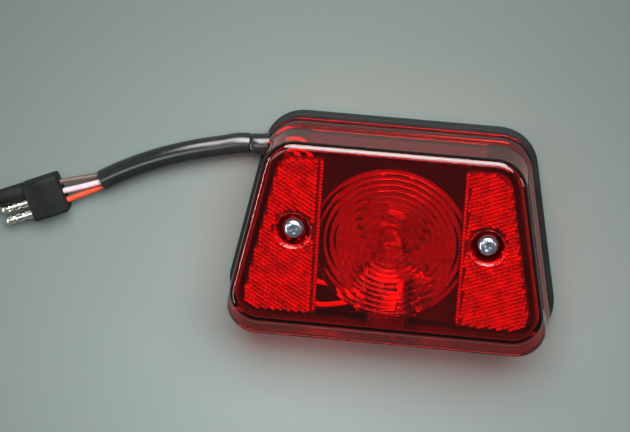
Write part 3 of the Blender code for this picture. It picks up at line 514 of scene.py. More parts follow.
clearLooks = {
    "redLens": {
        "tint": (0.93, 0.015, 0.013),
        "shadowTint": (0.66, 0.05, 0.045),
        "roughness": (0.0, 0.03),
        "ior": 1.49,
        "mottle": 0.04,
    },
    "bulbGlass": {
        "tint": (0.99, 0.99, 0.985),
        "shadowTint": (0.98, 0.98, 0.98),
        "roughness": (0.0, 0.012),
        "ior": 1.5,
    },
}
surfaceLooks = {
    "redReflex": {
        "colours": ((0.80, 0.006, 0.006), (0.52, 0.003, 0.005)),
        "roughness": (0.12, 0.22),
        "metallic": 0.6,
        "patch": 200.0,
        "grain": 900.0,
        "bump": 0.1,
    },
    "padRubber": {
        "colours": ((0.007, 0.010, 0.010), (0.014, 0.018, 0.018)),
        "roughness": (0.55, 0.75),
        "patch": 70.0,
        "grain": 1400.0,
        "bump": 0.3,
        "specular": 0.12,
    },
    "blackPlastic": {
        "colours": ((0.010, 0.010, 0.011), (0.018, 0.017, 0.018)),
        "roughness": (0.3, 0.45),
        "patch": 60.0,
        "grain": 1900.0,
        "bump": 0.2,
    },
    "sealRubber": {
        "colours": ((0.014, 0.014, 0.014), (0.026, 0.026, 0.026)),
        "roughness": (0.55, 0.7),
        "patch": 150.0,
        "grain": 2500.0,
        "bump": 0.3,
    },
    "zincSteel": {
        "colours": ((0.40, 0.45, 0.52), (0.28, 0.31, 0.36)),
        "roughness": (0.18, 0.32),
        "metallic": 0.9,
        "patch": 260.0,
        "grain": 2600.0,
        "bump": 0.15,
    },
    "brightSteel": {
        "colours": ((0.42, 0.42, 0.42), (0.26, 0.26, 0.27)),
        "roughness": (0.34, 0.5),
        "metallic": 0.6,
        "patch": 50.0,
        "grain": 700.0,
        "bump": 0.1,
        "depth": 0.01,
        "stretch": (1.0, 12.0, 1.0),
    },
    "brass": {
        "colours": ((0.86, 0.64, 0.32), (0.72, 0.50, 0.22)),
        "roughness": (0.26, 0.42),
        "metallic": 0.75,
        "patch": 160.0,
        "grain": 1500.0,
        "bump": 0.1,
    },
    "springSteel": {
        "colours": ((0.60, 0.60, 0.62), (0.48, 0.47, 0.46)),
        "roughness": (0.22, 0.36),
        "metallic": 1.0,
        "patch": 300.0,
        "grain": 2500.0,
        "bump": 0.1,
    },
    "fibre": {
        "colours": ((0.30, 0.17, 0.08), (0.20, 0.10, 0.05)),
        "roughness": (0.6, 0.8),
        "patch": 300.0,
        "grain": 3000.0,
        "bump": 0.5,
    },
    "blackGlass": {
        "colours": ((0.012, 0.012, 0.02), (0.03, 0.03, 0.05)),
        "roughness": (0.1, 0.2),
        "patch": 200.0,
        "grain": 900.0,
        "bump": 0.1,
    },
    "solder": {
        "colours": ((0.62, 0.62, 0.60), (0.45, 0.45, 0.44)),
        "roughness": (0.35, 0.55),
        "metallic": 1.0,
        "patch": 500.0,
        "grain": 3500.0,
        "bump": 0.4,
    },
    "tungsten": {
        "colours": ((0.30, 0.30, 0.31), (0.20, 0.20, 0.20)),
        "roughness": (0.35, 0.5),
        "metallic": 1.0,
        "patch": 600.0,
        "grain": 5000.0,
        "bump": 0.1,
    },
    "vinylBlack": {
        "colours": ((0.010, 0.012, 0.011), (0.018, 0.021, 0.020)),
        "roughness": (0.14, 0.24),
        "patch": 55.0,
        "grain": 700.0,
        "bump": 0.25,
        "depth": 0.05,
    },
    "wireBrown": {
        "colours": ((0.075, 0.048, 0.038), (0.11, 0.07, 0.055)),
        "roughness": (0.3, 0.42),
        "patch": 200.0,
        "grain": 1500.0,
        "bump": 0.15,
    },
    # a white wire; the pink in its colours is a painted red reflection
    "wireWhite": {
        "colours": ((0.80, 0.60, 0.60), (0.70, 0.46, 0.47)),
        "roughness": (0.3, 0.42),
        "patch": 200.0,
        "grain": 1500.0,
        "bump": 0.15,
    },
    "wireOrange": {
        "colours": ((0.85, 0.075, 0.022), (0.70, 0.050, 0.020)),
        "roughness": (0.3, 0.42),
        "patch": 200.0,
        "grain": 1500.0,
        "bump": 0.15,
    },
    "plugRubber": {
        "colours": ((0.007, 0.009, 0.008), (0.014, 0.017, 0.015)),
        "roughness": (0.42, 0.58),
        "patch": 80.0,
        "grain": 1600.0,
        "bump": 0.3,
        "depth": 0.03,
        "specular": 0.1,
    },
    "nickel": {
        "colours": ((0.86, 0.85, 0.78), (0.72, 0.70, 0.62)),
        "roughness": (0.16, 0.3),
        "metallic": 1.0,
        "patch": 240.0,
        "grain": 1800.0,
        "bump": 0.15,
    },
}
finishes = {name: makeClearPlastic(name, **look) for name, look in clearLooks.items()}
finishes.update({name: surface(name, **look) for name, look in surfaceLooks.items()})
# painted shade: the cells darken towards the plate. Low and high are heights above the panel's back
reflexShadow = {"colour": (0.19, 0.001, 0.002), "low": 0.38, "high": 0.75}
panelLow = boxOf("reflex_panel_left")[0].z
paintedShadeBelow(
    finishes["redReflex"],
    panelLow + reflexShadow["low"],
    panelLow + reflexShadow["high"],
    reflexShadow["colour"],
)


def slotOf(finish):
    return "".join(f"_{letter.lower()}" if letter.isupper() else letter for letter in finish)


# gives a piece its material and body, and hides the CAD nodes that it stands for
def dress(made, finish, body, *nodes):
    made.data.materials.clear()
    made.data.materials.append(finishes[finish])
    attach(made, body)
    slotOf(finish)
    if nodes:
        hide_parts(*nodes)
    return made


makeCamera(cameraPlace)
makeStage(stageLook)
for lampName, lamp in lamps.items():
    makeLamp(lampName, lamp)
print("camera, stage and finishes made")


cordShape = {
    "z": 5.0,
    "radius": 4.65,
    "bootWidth": 11.0,
    "bootHeight": 9.8,
    "bootCorner": 4.4,
    "wireRadius": 1.25,
    "wireSpread": 4.3,  # at the plug
    "wireGap": 2.6,  # at the sleeve
    "wires": (("Brown", -0.2), ("White", 1.4), ("Orange", -0.2)),  # colour and rise
    # share of the boot's length, growth, and share towards the round sleeve
    "bootStations": (
        (0.0, -0.75, 0.95),
        (0.05, -0.3, 0.95),
        (0.3, -0.2, 0.85),
        (0.5, -0.1, 0.45),
        (0.62, -0.05, 0.1),
        (0.7, 0.0, 0.0),
        (0.97, 0.0, 0.0),
        (1.0, -0.3, 0.0),
    ),
}
cordRoute = (
    (-64.7, 31.5),
    (-69.5, 31.2),
    (-77.0, 29.3),
    (-86.4, 27.0),
    (-95.1, 24.4),
    (-103.7, 21.3),
    (-112.3, 17.6),
    (-120.8, 13.3),
    (-128.4, 8.9),
)
plugShape = {
    "back": (-145.6, 2.4),
    "angle": 203.0,
    "width": 17.8,
    "height": 9.4,
    "length": 16.0,
    "corner": 1.7,
    "pitch": 5.4,
    "pinRadius": 2.0,
    "pinLength": 14.0,
    "shroudRadius": 3.7,
    "shroudLength": 14.0,
    "socketRadius": 2.15,
    "terminalWall": 0.45,
}
plugTurn = Matrix.Rotation(math.radians(plugShape["angle"]), 4, "Z")
plugPlace = Matrix.Translation((*plugShape["back"], cordShape["z"])) @ plugTurn
alongX = Matrix.Rotation(math.radians(90), 4, "Y")  # turns a height into a place along +X


def makeBoot(shape):
    low, high = boxOf("cord_boot")
    centreY, centreZ = (low.y + high.y) / 2, shape["z"]
    halfWidth, halfHeight = shape["bootWidth"] / 2, shape["bootHeight"] / 2
    loops = []
    for share, grow, rounding in shape["bootStations"]:
        x = low.x + (high.x - low.x) * share
        corner = shape["bootCorner"] + (halfHeight - shape["bootCorner"]) * rounding * 0.98
        corner = min(corner, halfHeight - 0.02)
        half = halfWidth + (halfHeight - halfWidth) * rounding + grow
        tall = halfHeight + grow
        corner = min(corner, tall - 0.02, half - 0.02)
        section = roundedPolygon(rectangle(half, tall), (corner,) * 4, 10)
        loops.append([(x, centreY + point.x, centreZ + point.y) for point in section])
    boot = skin("cordBoot", loops, smoothAngle=50.0)
    dress(boot, "vinylBlack", "lamp", "cord_boot")


def makeSleeve(shape):
    points = smoothRoute([(x, y, shape["z"]) for x, y in cordRoute], 1.2)
    points.insert(1, points[0] - Vector((0.6, 0, 0)))
    sleeve = tubeCurve("cordSleeve", points, shape["radius"], 10)
    dress(sleeve, "vinylBlack", "lamp", "cord_sleeve")
    return sleeve, points


def makeWires(shape, sleevePoints):
    end = sleevePoints[-1]
    heading = (end - sleevePoints[-2]).normalized()
    across = Vector((heading.y, -heading.x, 0))
    plugHeading = (plugTurn @ Vector((1, 0, 0))).normalized()
    plugAcross = Vector((plugHeading.y, -plugHeading.x, 0))
    back = Vector((*plugShape["back"], shape["z"]))
    wires = []
    for lane, (colour, rise) in enumerate(shape["wires"]):
        side = 1.0 - lane
        lift = Vector((0, 0, rise))
        start = end + heading * 0.3 + across * (side * shape["wireGap"]) + lift
        stop = back - plugHeading * 0.3 + plugAcross * (side * shape["wireSpread"])
        middle = (start + stop) / 2 + lift * 0.3
        route = smoothRoute((start, middle, stop), 0.6)
        wire = tubeCurve(f"wire{colour}", route, shape["wireRadius"], 6)
        wires.append(dress(wire, f"wire{colour}", "lamp", f"wire_{colour.lower()}"))
    return wires


def makePlug(shape):
    half, deep = shape["width"] / 2, shape["height"] / 2
    length = shape["length"]
    # place along the plug, and how far the section draws in
    stations = (
        (0.0, 0.8),
        (0.2, 0.45),
        (0.5, 0.22),
        (0.9, 0.12),
        (length - 0.7, 0.12),
        (length - 0.25, 0.3),
        (length, 0.7),
    )
    loops = []
    for x, inset in stations:
        radius = max(0.6, shape["corner"] - inset * 0.5)
        section = roundedPolygon(rectangle(half - inset, deep - inset), (radius,) * 4, 8)
        loops.append([plugPlace @ Vector((x, point.x, point.y)) for point in section])
    body = skin("plugBody", loops)
    end = length + shape["shroudLength"]
    shroudR = shape["shroudRadius"]
    shroudProfile = (
        (0.0, length - 1.5),
        (shroudR, length - 1.5),
        (shroudR, end - 2.4),
        (shroudR - 0.35, end - 2.2),
        (shroudR - 0.35, end - 1.7),
        (shroudR, end - 1.5),
        (shroudR, end - 0.5),
        (shroudR - 0.15, end - 0.15),
        (shroudR - 0.5, end),
        (0.0, end),
    )
    shroudPlace = plugPlace @ Matrix.Translation((0, -shape["pitch"], 0)) @ alongX
    combine(body, turned("shroud", shroudProfile, 48, shroudPlace), "UNION")
    boreR = shape["socketRadius"] + shape["terminalWall"] + 0.25
    combine(body, rod("bore", boreR, length - 3.0, end + 3.0, 48, shroudPlace))
    for lane in (0.0, shape["pitch"]):
        holeR = shape["pinRadius"] + 0.25
        holePlace = plugPlace @ Matrix.Translation((0, lane, 0)) @ alongX
        combine(body, rod("hole", holeR, length - 4.0, end, 40, holePlace))
    dress(body, "plugRubber", "lamp", "plug_body")
    return body


# two bullet pins with turned rings, and the slit socket in the shroud
def makePins(shape):
    pieces = []
    length, low = shape["pinLength"], shape["length"]
    radius = shape["pinRadius"]
    for number, lane in ((1, 0.0), (2, shape["pitch"])):
        profile = [(0.0, low - 3.7), (radius, low - 3.7), (radius, low + 3.6)]
        for start, width in ((0.29, 0.07), (0.58, 0.10)):
            a, b = low + length * start, low + length * (start + width)
            profile += [(radius, a - 0.35), (radius - 0.3, a - 0.12), (radius - 0.45, a + 0.1)]
            profile += [(radius - 0.45, b - 0.1), (radius - 0.3, b + 0.12), (radius, b + 0.35)]
        end = low + length
        for inward, back in ((0.0, 1.9), (0.2, 1.3), (0.55, 0.65), (1.0, 0.2), (1.5, 0.0)):
            profile.append((radius - inward, end - back))
        profile.append((0.0, end))
        place = plugPlace @ Matrix.Translation((0, lane, 0)) @ alongX
        pin = turned(f"plugPin{number}", profile, 48, place, 40.0)
        pieces.append(dress(pin, "nickel", "lamp", f"plug_pin_{number}"))
    inner, outer = shape["socketRadius"], shape["socketRadius"] + shape["terminalWall"]
    low, end = shape["length"] - 2.7, shape["length"] + shape["shroudLength"] - 1.0
    place = plugPlace @ Matrix.Translation((0, -shape["pitch"], 0)) @ alongX
    profile = (
        (inner, low),
        (outer, low),
        (outer, end - 0.2),
        (outer - 0.12, end),
        (inner + 0.12, end),
        (inner, end - 0.2),
    )
    terminal = turned("plugSocketTerminal", profile, 48, place)
    slitPlace = plugPlace @ Matrix.Translation((0, -shape["pitch"], 0))
    combine(terminal, block("slit", (low + 4.0, -0.3, 0.0), (end + 1.0, 0.3, 4.0), slitPlace))
    pieces.append(dress(terminal, "nickel", "lamp", "plug_socket_terminal"))
    return pieces


makeBoot(cordShape)
sleeve, sleevePoints = makeSleeve(cordShape)
plugPieces = makeWires(cordShape, sleevePoints) + [makePlug(plugShape)] + makePins(plugShape)
print("cord and plug made")


lensLow, lensHigh = boxOf("lens")
padHigh = boxOf("mounting_pad")[1]
lensShape = {
    "halfWidth": 61.6,  # of the wall at the mid-line
    "sideSlope": 0.2,
    "top": 41.3,
    "bottom": 41.3,  # of the face
    "bodyBottom": 48.6,
    "cornerTop": 14.0,
    "cornerBottom": 13.0,
    "fillet": 3.3,
    "faceWall": 2.8,
    "wall": 2.4,
    "shoulder": 8.8,
    "beadTopZ": 17.5,
    "skirtTopZ": 12.0,
    "skirtStep": 1.1,
    "skirtWall": 2.3,
    "ledgeZ": 12.3,
    "innerFillet": 1.7,
    "wellMouth": 7.9,
    "wellFloor": 5.1,
    "wellDepth": 4.5,
    "wellLip": 0.8,
    "boss": 7.4,
    "bossDepth": 3.6,
    "tube": 4.8,
    "tubeZ": 23.8,
    "hole": 2.2,
    "fresnelRadius": 33.0,
    "fresnelRings": 13,
    "fresnelDepth": 0.95,
    "fresnelHalfWidth": 29.5,  # the rings stop at the reflex panels
    "fluteWidth": 1.1,
    "cornerSteps": 22,
}
midY = lensHigh.y - lensShape["top"] - lensShape["skirtStep"]
faceZ = lensHigh.z
ceilingZ = faceZ - lensShape["faceWall"]
slopeStretch = math.hypot(1.0, lensShape["sideSlope"])
screwSpots = {}
for side in ("left", "right"):
    low, high = boxOf(f"lens_screw_{side}")
    screwSpots[side] = (low + high) / 2


def slopedCorners(half, low, top):
    slope = lensShape["sideSlope"]
    return (
        (-(half - slope * low), low),
        (half - slope * low, low),
        (half - slope * top, top),
        (-(half - slope * top), top),
    )


# the lens wall's outline, grown outwards
def wallOutline(out, bottom=lensShape["bodyBottom"]):
    half = lensShape["halfWidth"] + out * slopeStretch
    corners = slopedCorners(half, -bottom - out, lensShape["top"] + out)
    lowRadius, topRadius = lensShape["cornerBottom"] + out, lensShape["cornerTop"] + out
    radii = (lowRadius, lowRadius, topRadius, topRadius)
    ring = roundedPolygon(corners, radii, lensShape["cornerSteps"])
    return [Vector((point.x, point.y + midY)) for point in ring]


# a cutter for the cord boot's opening
def bootNotch(grow, below):
    low, high = boxOf("cord_boot")
    centreY = (low.y + high.y) / 2
    halfWidth = cordShape["bootWidth"] / 2 + grow
    bottom = cordShape["z"] - cordShape["bootHeight"] / 2 - grow - below
    top = cordShape["z"] + cordShape["bootHeight"] / 2 + grow
    corners = ((-halfWidth, bottom), (halfWidth, bottom), (halfWidth, top), (-halfWidth, top))
    section = roundedPolygon(corners, (cordShape["bootCorner"] + grow,) * 4, 10)
    ends = (low.x - 20.0, high.x + grow)
    return skin("notch", [[(x, centreY + p.x, p.y) for p in section] for x in ends])


# how far the pad stands out from the lens, its two grooves, and its inside
padShape = {
    "side": 2.9,
    "top": 3.0,
    "bottom": 2.0,
    "corner": 17.5,
    "grooves": ((1.35, 2.15), (3.1, 3.9)),
    "grooveDepth": 0.4,
    "tray": -1.6,
    "floorZ": 2.0,
}


def padOutline(inset):
    half = lensShape["halfWidth"] + (padShape["side"] - inset) * slopeStretch
    top = lensShape["top"] + padShape["top"] - inset
    low = -lensShape["bodyBottom"] - padShape["bottom"] + inset
    corners = slopedCorners(half, low, top)
    points = roundedPolygon(corners, (padShape["corner"] - inset,) * 4, lensShape["cornerSteps"])
    return [Vector((point.x, point.y + midY)) for point in points]


def makePad(shape):
    rings = [(padOutline(0.5), 0.0), (padOutline(0.12), 0.15), (padOutline(0.0), 0.5)]
    for low, high in shape["grooves"]:
        rings.append((padOutline(0.0), low))
        for step in range(1, 6):
            share = step / 6
            inset = shape["grooveDepth"] * math.sin(math.pi * share)
            rings.append((padOutline(inset), low + (high - low) * share))
        rings.append((padOutline(0.0), high))
    top = padHigh.z
    rings += [(padOutline(0.0), top - 0.5), (padOutline(0.15), top - 0.15), (padOutline(0.5), top)]
    rings.append((wallOutline(shape["tray"] + 0.6), top))
    for z in (top - 0.3, shape["floorZ"]):
        rings.append((wallOutline(shape["tray"] + 0.3), z))
    pad = loft("mountingPad", rings, smoothAngle=50.0)
    combine(pad, bootNotch(0.3, 3.0), smoothAngle=50.0)
    dress(pad, "padRubber", "lamp", "mounting_pad")


makePad(padShape)
print("pad made")


def makeLens(shape):
    rings = []
    fillet = shape["fillet"]
    steps = 10
    rings.append((wallOutline(-fillet - 1.2, shape["bottom"]), faceZ))
    for step in range(steps + 1):
        angle = math.radians(90.0 * step / steps)
        z = faceZ - fillet * (1 - math.cos(angle))
        rings.append((wallOutline(fillet * (math.sin(angle) - 1), shape["bottom"]), z))
    shoulderZ = faceZ - shape["shoulder"]
    drop = faceZ - fillet - shoulderZ
    reach = shape["bodyBottom"] - shape["bottom"]
    for share in (0.06, 0.5, 0.9, 0.97):  # the sloping shoulder below the face
        bottom = shape["bottom"] + reach * share
        rings.append((wallOutline(0.0, bottom), faceZ - fillet - drop * share))
    for dip in (0.0, 0.5):
        rings.append((wallOutline(0.0), shoulderZ - dip))
    rings.append((wallOutline(0.0), shape["beadTopZ"] + 0.4))
    span = shape["beadTopZ"] - shape["skirtTopZ"]
    for step in range(9):  # the flare down to the skirt
        share = step / 8
        flare = shape["skirtStep"] * math.sin(math.radians(90 * share))
        rings.append((wallOutline(flare), shape["beadTopZ"] - span * share))
    step, wall = shape["skirtStep"], shape["wall"]
    for out, z in (
        (step, lensLow.z + 0.5),
        (step - 0.15, lensLow.z + 0.15),
        (step - 0.5, lensLow.z),
        (step - shape["skirtWall"], lensLow.z),
        (step - shape["skirtWall"], shape["ledgeZ"]),
        (-wall, shape["ledgeZ"]),
    ):
        rings.append((wallOutline(out), z))
    sink = wall * (math.hypot(drop, reach) - drop) / reach
    rings.append((wallOutline(-wall), shoulderZ - sink))
    inner = shape["innerFillet"]
    for number in range(7):
        angle = math.radians(90.0 * number / 6)
        out = -wall - inner * (1 - math.cos(angle))
        z = ceilingZ - inner + inner * math.sin(angle)
        rings.append((wallOutline(out, shape["bottom"]), z))
    lens = loft("lensShell", rings)
    for spot in screwSpots.values():
        where = Matrix.Translation((spot.x, spot.y, 0))
        wellFloor = faceZ - shape["wellDepth"]
        bossLow = ceilingZ - shape["bossDepth"]
        boss = (
            (0.0, faceZ - 1.0),
            (shape["boss"], faceZ - 1.0),
            (shape["boss"], bossLow + 0.6),
            (shape["boss"] - 0.6, bossLow),
            (shape["tube"] + 0.4, bossLow - 1.0),
            (shape["tube"], bossLow - 1.4),
            (shape["tube"], shape["tubeZ"]),
            (0.0, shape["tubeZ"]),
        )
        mouth, lip = shape["wellMouth"] + 0.5, shape["wellLip"]
        well = [(0.0, faceZ + 2.0), (mouth, faceZ + 2.0), (mouth, faceZ + 0.001)]
        for share in (0.0, 0.25, 0.5, 0.75, 1.0):  # rounded lip, then the slanting side
            angle = math.radians(60.0 * share)
            well.append((mouth - lip * math.sin(angle), faceZ - lip * (1 - math.cos(angle))))
        slant = shape["wellMouth"] - shape["wellFloor"]
        well.append((shape["wellFloor"] + slant * 0.08, wellFloor + 0.3))
        well += [(shape["wellFloor"] - 0.2, wellFloor), (0.0, wellFloor)]
        combine(lens, turned("boss", boss, 72, where), "UNION")
        combine(lens, turned("well", well, 72, where))
        combine(lens, rod("hole", shape["hole"], 0.0, faceZ, 40, where))
    combine(lens, fresnelDisc(shape), "UNION")
    combine(lens, bootNotch(0.3, 0.0))
    flatten = lens.modifiers.new("flatten", "WEIGHTED_NORMAL")  # keeps the flat faces flat
    flatten.mode = "FACE_AREA"
    flatten.weight = 100
    flatten.keep_sharp = True
    return applyModifiers(lens)


# concentric lens rings under the middle of the face, steeper towards the outside
def fresnelDisc(shape):
    top = ceilingZ + 0.6
    count, radius = shape["fresnelRings"], shape["fresnelRadius"]
    pitch = radius / count
    base = ceilingZ - 0.15
    profile = [(0.0, top), (radius, top), (radius, base)]
    for number in range(count, 0, -1):
        outer, inner = number * pitch, (number - 1) * pitch
        depth = shape["fresnelDepth"] * min(1.0, 0.35 + 0.8 * (number - 1) / count)
        if number == 1:
            for share in (0.8, 0.6, 0.4, 0.2, 0.0):
                profile.append((outer * share, base - 0.5 * math.cos(math.radians(90 * share))))
            break
        for share in (0.66, 0.33, 0.0):
            bulge = depth * math.sin(math.radians(90 * (1 - share)))
            profile.append((inner + 0.05 + (outer - inner - 0.05) * share, base - bulge))
        profile.append((inner, base))
    disc = turned("fresnel", profile, 120, Matrix.Translation((0, midY + 0.3, 0)), 25.0)
    half = shape["fresnelHalfWidth"]
    window = block("window", (-half, -60.0, 0.0), (half, 60.0, faceZ))
    return combine(disc, window, "INTERSECT", 25.0)


lens = dress(makeLens(lensShape), "redLens", "lens_cover", "lens")
print("lens made with", len(lens.data.polygons), "faces")


def newTree(name, inputs):
    tree = bpy.data.node_groups.new(name, "GeometryNodeTree")
    tree.interface.new_socket(name="Geometry", in_out="OUTPUT", socket_type="NodeSocketGeometry")
    for label, value in inputs.items():
        kind = "NodeSocketFloat"
        if isinstance(value, int):
            kind = "NodeSocketInt"
        if isinstance(value, bpy.types.Object):
            kind = "NodeSocketObject"
        socket = tree.interface.new_socket(name=label, in_out="INPUT", socket_type=kind)
        if kind != "NodeSocketObject":
            socket.default_value = value
    return tree, tree.nodes.new("NodeGroupInput").outputs, tree.nodes.new("NodeGroupOutput")


def feed(tree, socket, value):
    if isinstance(value, bpy.types.NodeSocket):
        tree.links.new(value, socket)
    else:
        socket.default_value = value


def calculate(tree, operation, *values):
    node = tree.nodes.new("ShaderNodeMath")
    node.operation = operation
    for socket, value in zip(node.inputs, values):
        feed(tree, socket, value)
    return node.outputs[0]


def vectorOf(tree, x, y, z):
    node = tree.nodes.new("ShaderNodeCombineXYZ")
    for socket, value in zip(node.inputs, (x, y, z)):
        feed(tree, socket, value)
    return node.outputs[0]


# instances made real, millimetres turned to metres, and the material set
def finishTree(tree, geometry, material, output):
    real = tree.nodes.new("GeometryNodeRealizeInstances")
    scale = tree.nodes.new("GeometryNodeTransform")
    paint = tree.nodes.new("GeometryNodeSetMaterial")
    scale.inputs["Scale"].default_value = (mm, mm, mm)
    paint.inputs["Material"].default_value = material
    tree.links.new(geometry, real.inputs[0])
    tree.links.new(real.outputs[0], scale.inputs["Geometry"])
    tree.links.new(scale.outputs[0], paint.inputs["Geometry"])
    tree.links.new(paint.outputs[0], output.inputs[0])


# grows a plain mesh from a node tree with these inputs, then removes the helpers
def grown(name, tree, values, *helpers):
    made = bpy.data.objects.new(name, bpy.data.meshes.new(name))
    bpy.context.scene.collection.objects.link(made)
    modifier = made.modifiers.new("grow", "NODES")
    modifier.node_group = tree
    for item in tree.interface.items_tree:
        if item.in_out == "INPUT":
            modifier[item.identifier] = values[item.name]
    applyModifiers(made)
    for helper in helpers:
        bpy.data.objects.remove(helper, do_unlink=True)
    return made


# copies of one shape in a straight row
def rowTree(name, inputs, material):
    tree, given, output = newTree(name, inputs)
    line = tree.nodes.new("GeometryNodeMeshLine")
    feed(tree, line.inputs["Count"], given["Count"])
    for socket, word in (("Start Location", "Start"), ("Offset", "Step")):
        parts = [given[f"{word} {axis}"] for axis in "XYZ"]
        feed(tree, line.inputs[socket], vectorOf(tree, *parts))
    shapeInfo = tree.nodes.new("GeometryNodeObjectInfo")
    feed(tree, shapeInfo.inputs["Object"], given["Shape"])
    copies = tree.nodes.new("GeometryNodeInstanceOnPoints")
    tree.links.new(line.outputs[0], copies.inputs["Points"])
    tree.links.new(shapeInfo.outputs["Geometry"], copies.inputs["Instance"])
    finishTree(tree, copies.outputs[0], material, output)
    return tree


def row(name, shape, count, start, step, material):
    values = {"Shape": shape, "Count": count}
    for axis, first, each in zip("XYZ", start, step):
        values[f"Start {axis}"] = float(first)
        values[f"Step {axis}"] = float(each)
    return grown(name, rowTree(f"{name}Row", values, material), values, shape)


# a round wire wound along Z from height 0
def coil(name, material, turns, radius, height, wire, sides, perTurn):
    values = {
        "Turns": float(turns),
        "Radius": float(radius),
        "Height": float(height),
        "Wire": float(wire),
        "Sides": sides,
        "Per Turn": perTurn,
    }
    tree, given, output = newTree(f"{name}Coil", values)
    spiral = tree.nodes.new("GeometryNodeCurveSpiral")
    feed(tree, spiral.inputs["Resolution"], given["Per Turn"])
    feed(tree, spiral.inputs["Rotations"], given["Turns"])
    feed(tree, spiral.inputs["Start Radius"], given["Radius"])
    feed(tree, spiral.inputs["End Radius"], given["Radius"])
    feed(tree, spiral.inputs["Height"], given["Height"])
    circle = tree.nodes.new("GeometryNodeCurvePrimitiveCircle")
    feed(tree, circle.inputs["Resolution"], given["Sides"])
    feed(tree, circle.inputs["Radius"], given["Wire"])
    sweep = tree.nodes.new("GeometryNodeCurveToMesh")
    sweep.inputs["Fill Caps"].default_value = True
    tree.links.new(spiral.outputs[0], sweep.inputs["Curve"])
    tree.links.new(circle.outputs[0], sweep.inputs["Profile Curve"])
    finishTree(tree, sweep.outputs[0], material, output)
    made = grown(name, tree, values)
    smoothSides(made.data, 60.0)
    return made


# a small helper mesh in millimetres, copied by a node tree
def rawShape(name, vertices, faces):
    shape = bmesh.new()
    points = [shape.verts.new(vertex) for vertex in vertices]
    for face in faces:
        shape.faces.new([points[index] for index in face])
    bmesh.ops.recalc_face_normals(shape, faces=shape.faces)
    return objectFrom(name, shape)


reflexShape = {
    "innerEdge": 29.9,
    "outerEdge": 55.5,
    "halfHeight": 34.9,
    "corner": 8.0,
    "pitch": 1.9,
    "rowTurn": {"left": -30.0, "right": 22.0},
    "plate": 0.35,
    "edgeColumn": 1.5,  # width of the square cells along the inner edge
    "cellShrink": 0.94,
    "rowShare": 0.76,  # how much of its row a cell fills
    "squareShare": (0.8, 0.74),  # how much of its place a square cell fills
    "squareHeight": 1.1,
    "columns": 56,
    "rows": 64,
}


# a six-sided cell whose top is three faces of a cube corner
def cubeCornerCell(pitch, shrink, rowShare):
    cube = pitch / math.sqrt(2)
    rise = cube / math.sqrt(3)
    radius = pitch / math.sqrt(3) * shrink
    angles = [math.radians(30 + 60 * k) for k in range(6)]
    rim = [(radius * math.cos(angle), radius * math.sin(angle) * rowShare) for angle in angles]
    tops = [(x, y, 0.2 + rise * (1 + k % 2)) for k, (x, y) in enumerate(rim)]
    base = [(x, y, 0.0) for x, y in rim]
    vertices = [(0.0, 0.0, 0.2)] + tops + base
    faces = [(0, 1, 2, 3), (0, 3, 4, 5), (0, 5, 6, 1)]
    faces += [(1 + k, 1 + (k + 1) % 6, 7 + (k + 1) % 6, 7 + k) for k in range(6)]
    faces.append(tuple(range(12, 6, -1)))
    return rawShape("cell", vertices, faces)


def squareCell(width, length, height):
    corners = rectangle(width / 2, length / 2)
    vertices = [(x, y, z) for z in (0.0, height * 0.45) for x, y in corners]
    vertices.append((0.0, 0.0, height))
    faces = [(3, 2, 1, 0)] + [(k, (k + 1) % 4, 4 + (k + 1) % 4, 4 + k) for k in range(4)]
    faces += [(4 + k, 4 + (k + 1) % 4, 8) for k in range(4)]
    return rawShape("squareCell", vertices, faces)


def lengthOf(tree, x, y):
    squares = [calculate(tree, "MULTIPLY", side, side) for side in (x, y)]
    return calculate(tree, "SQRT", calculate(tree, "ADD", *squares))


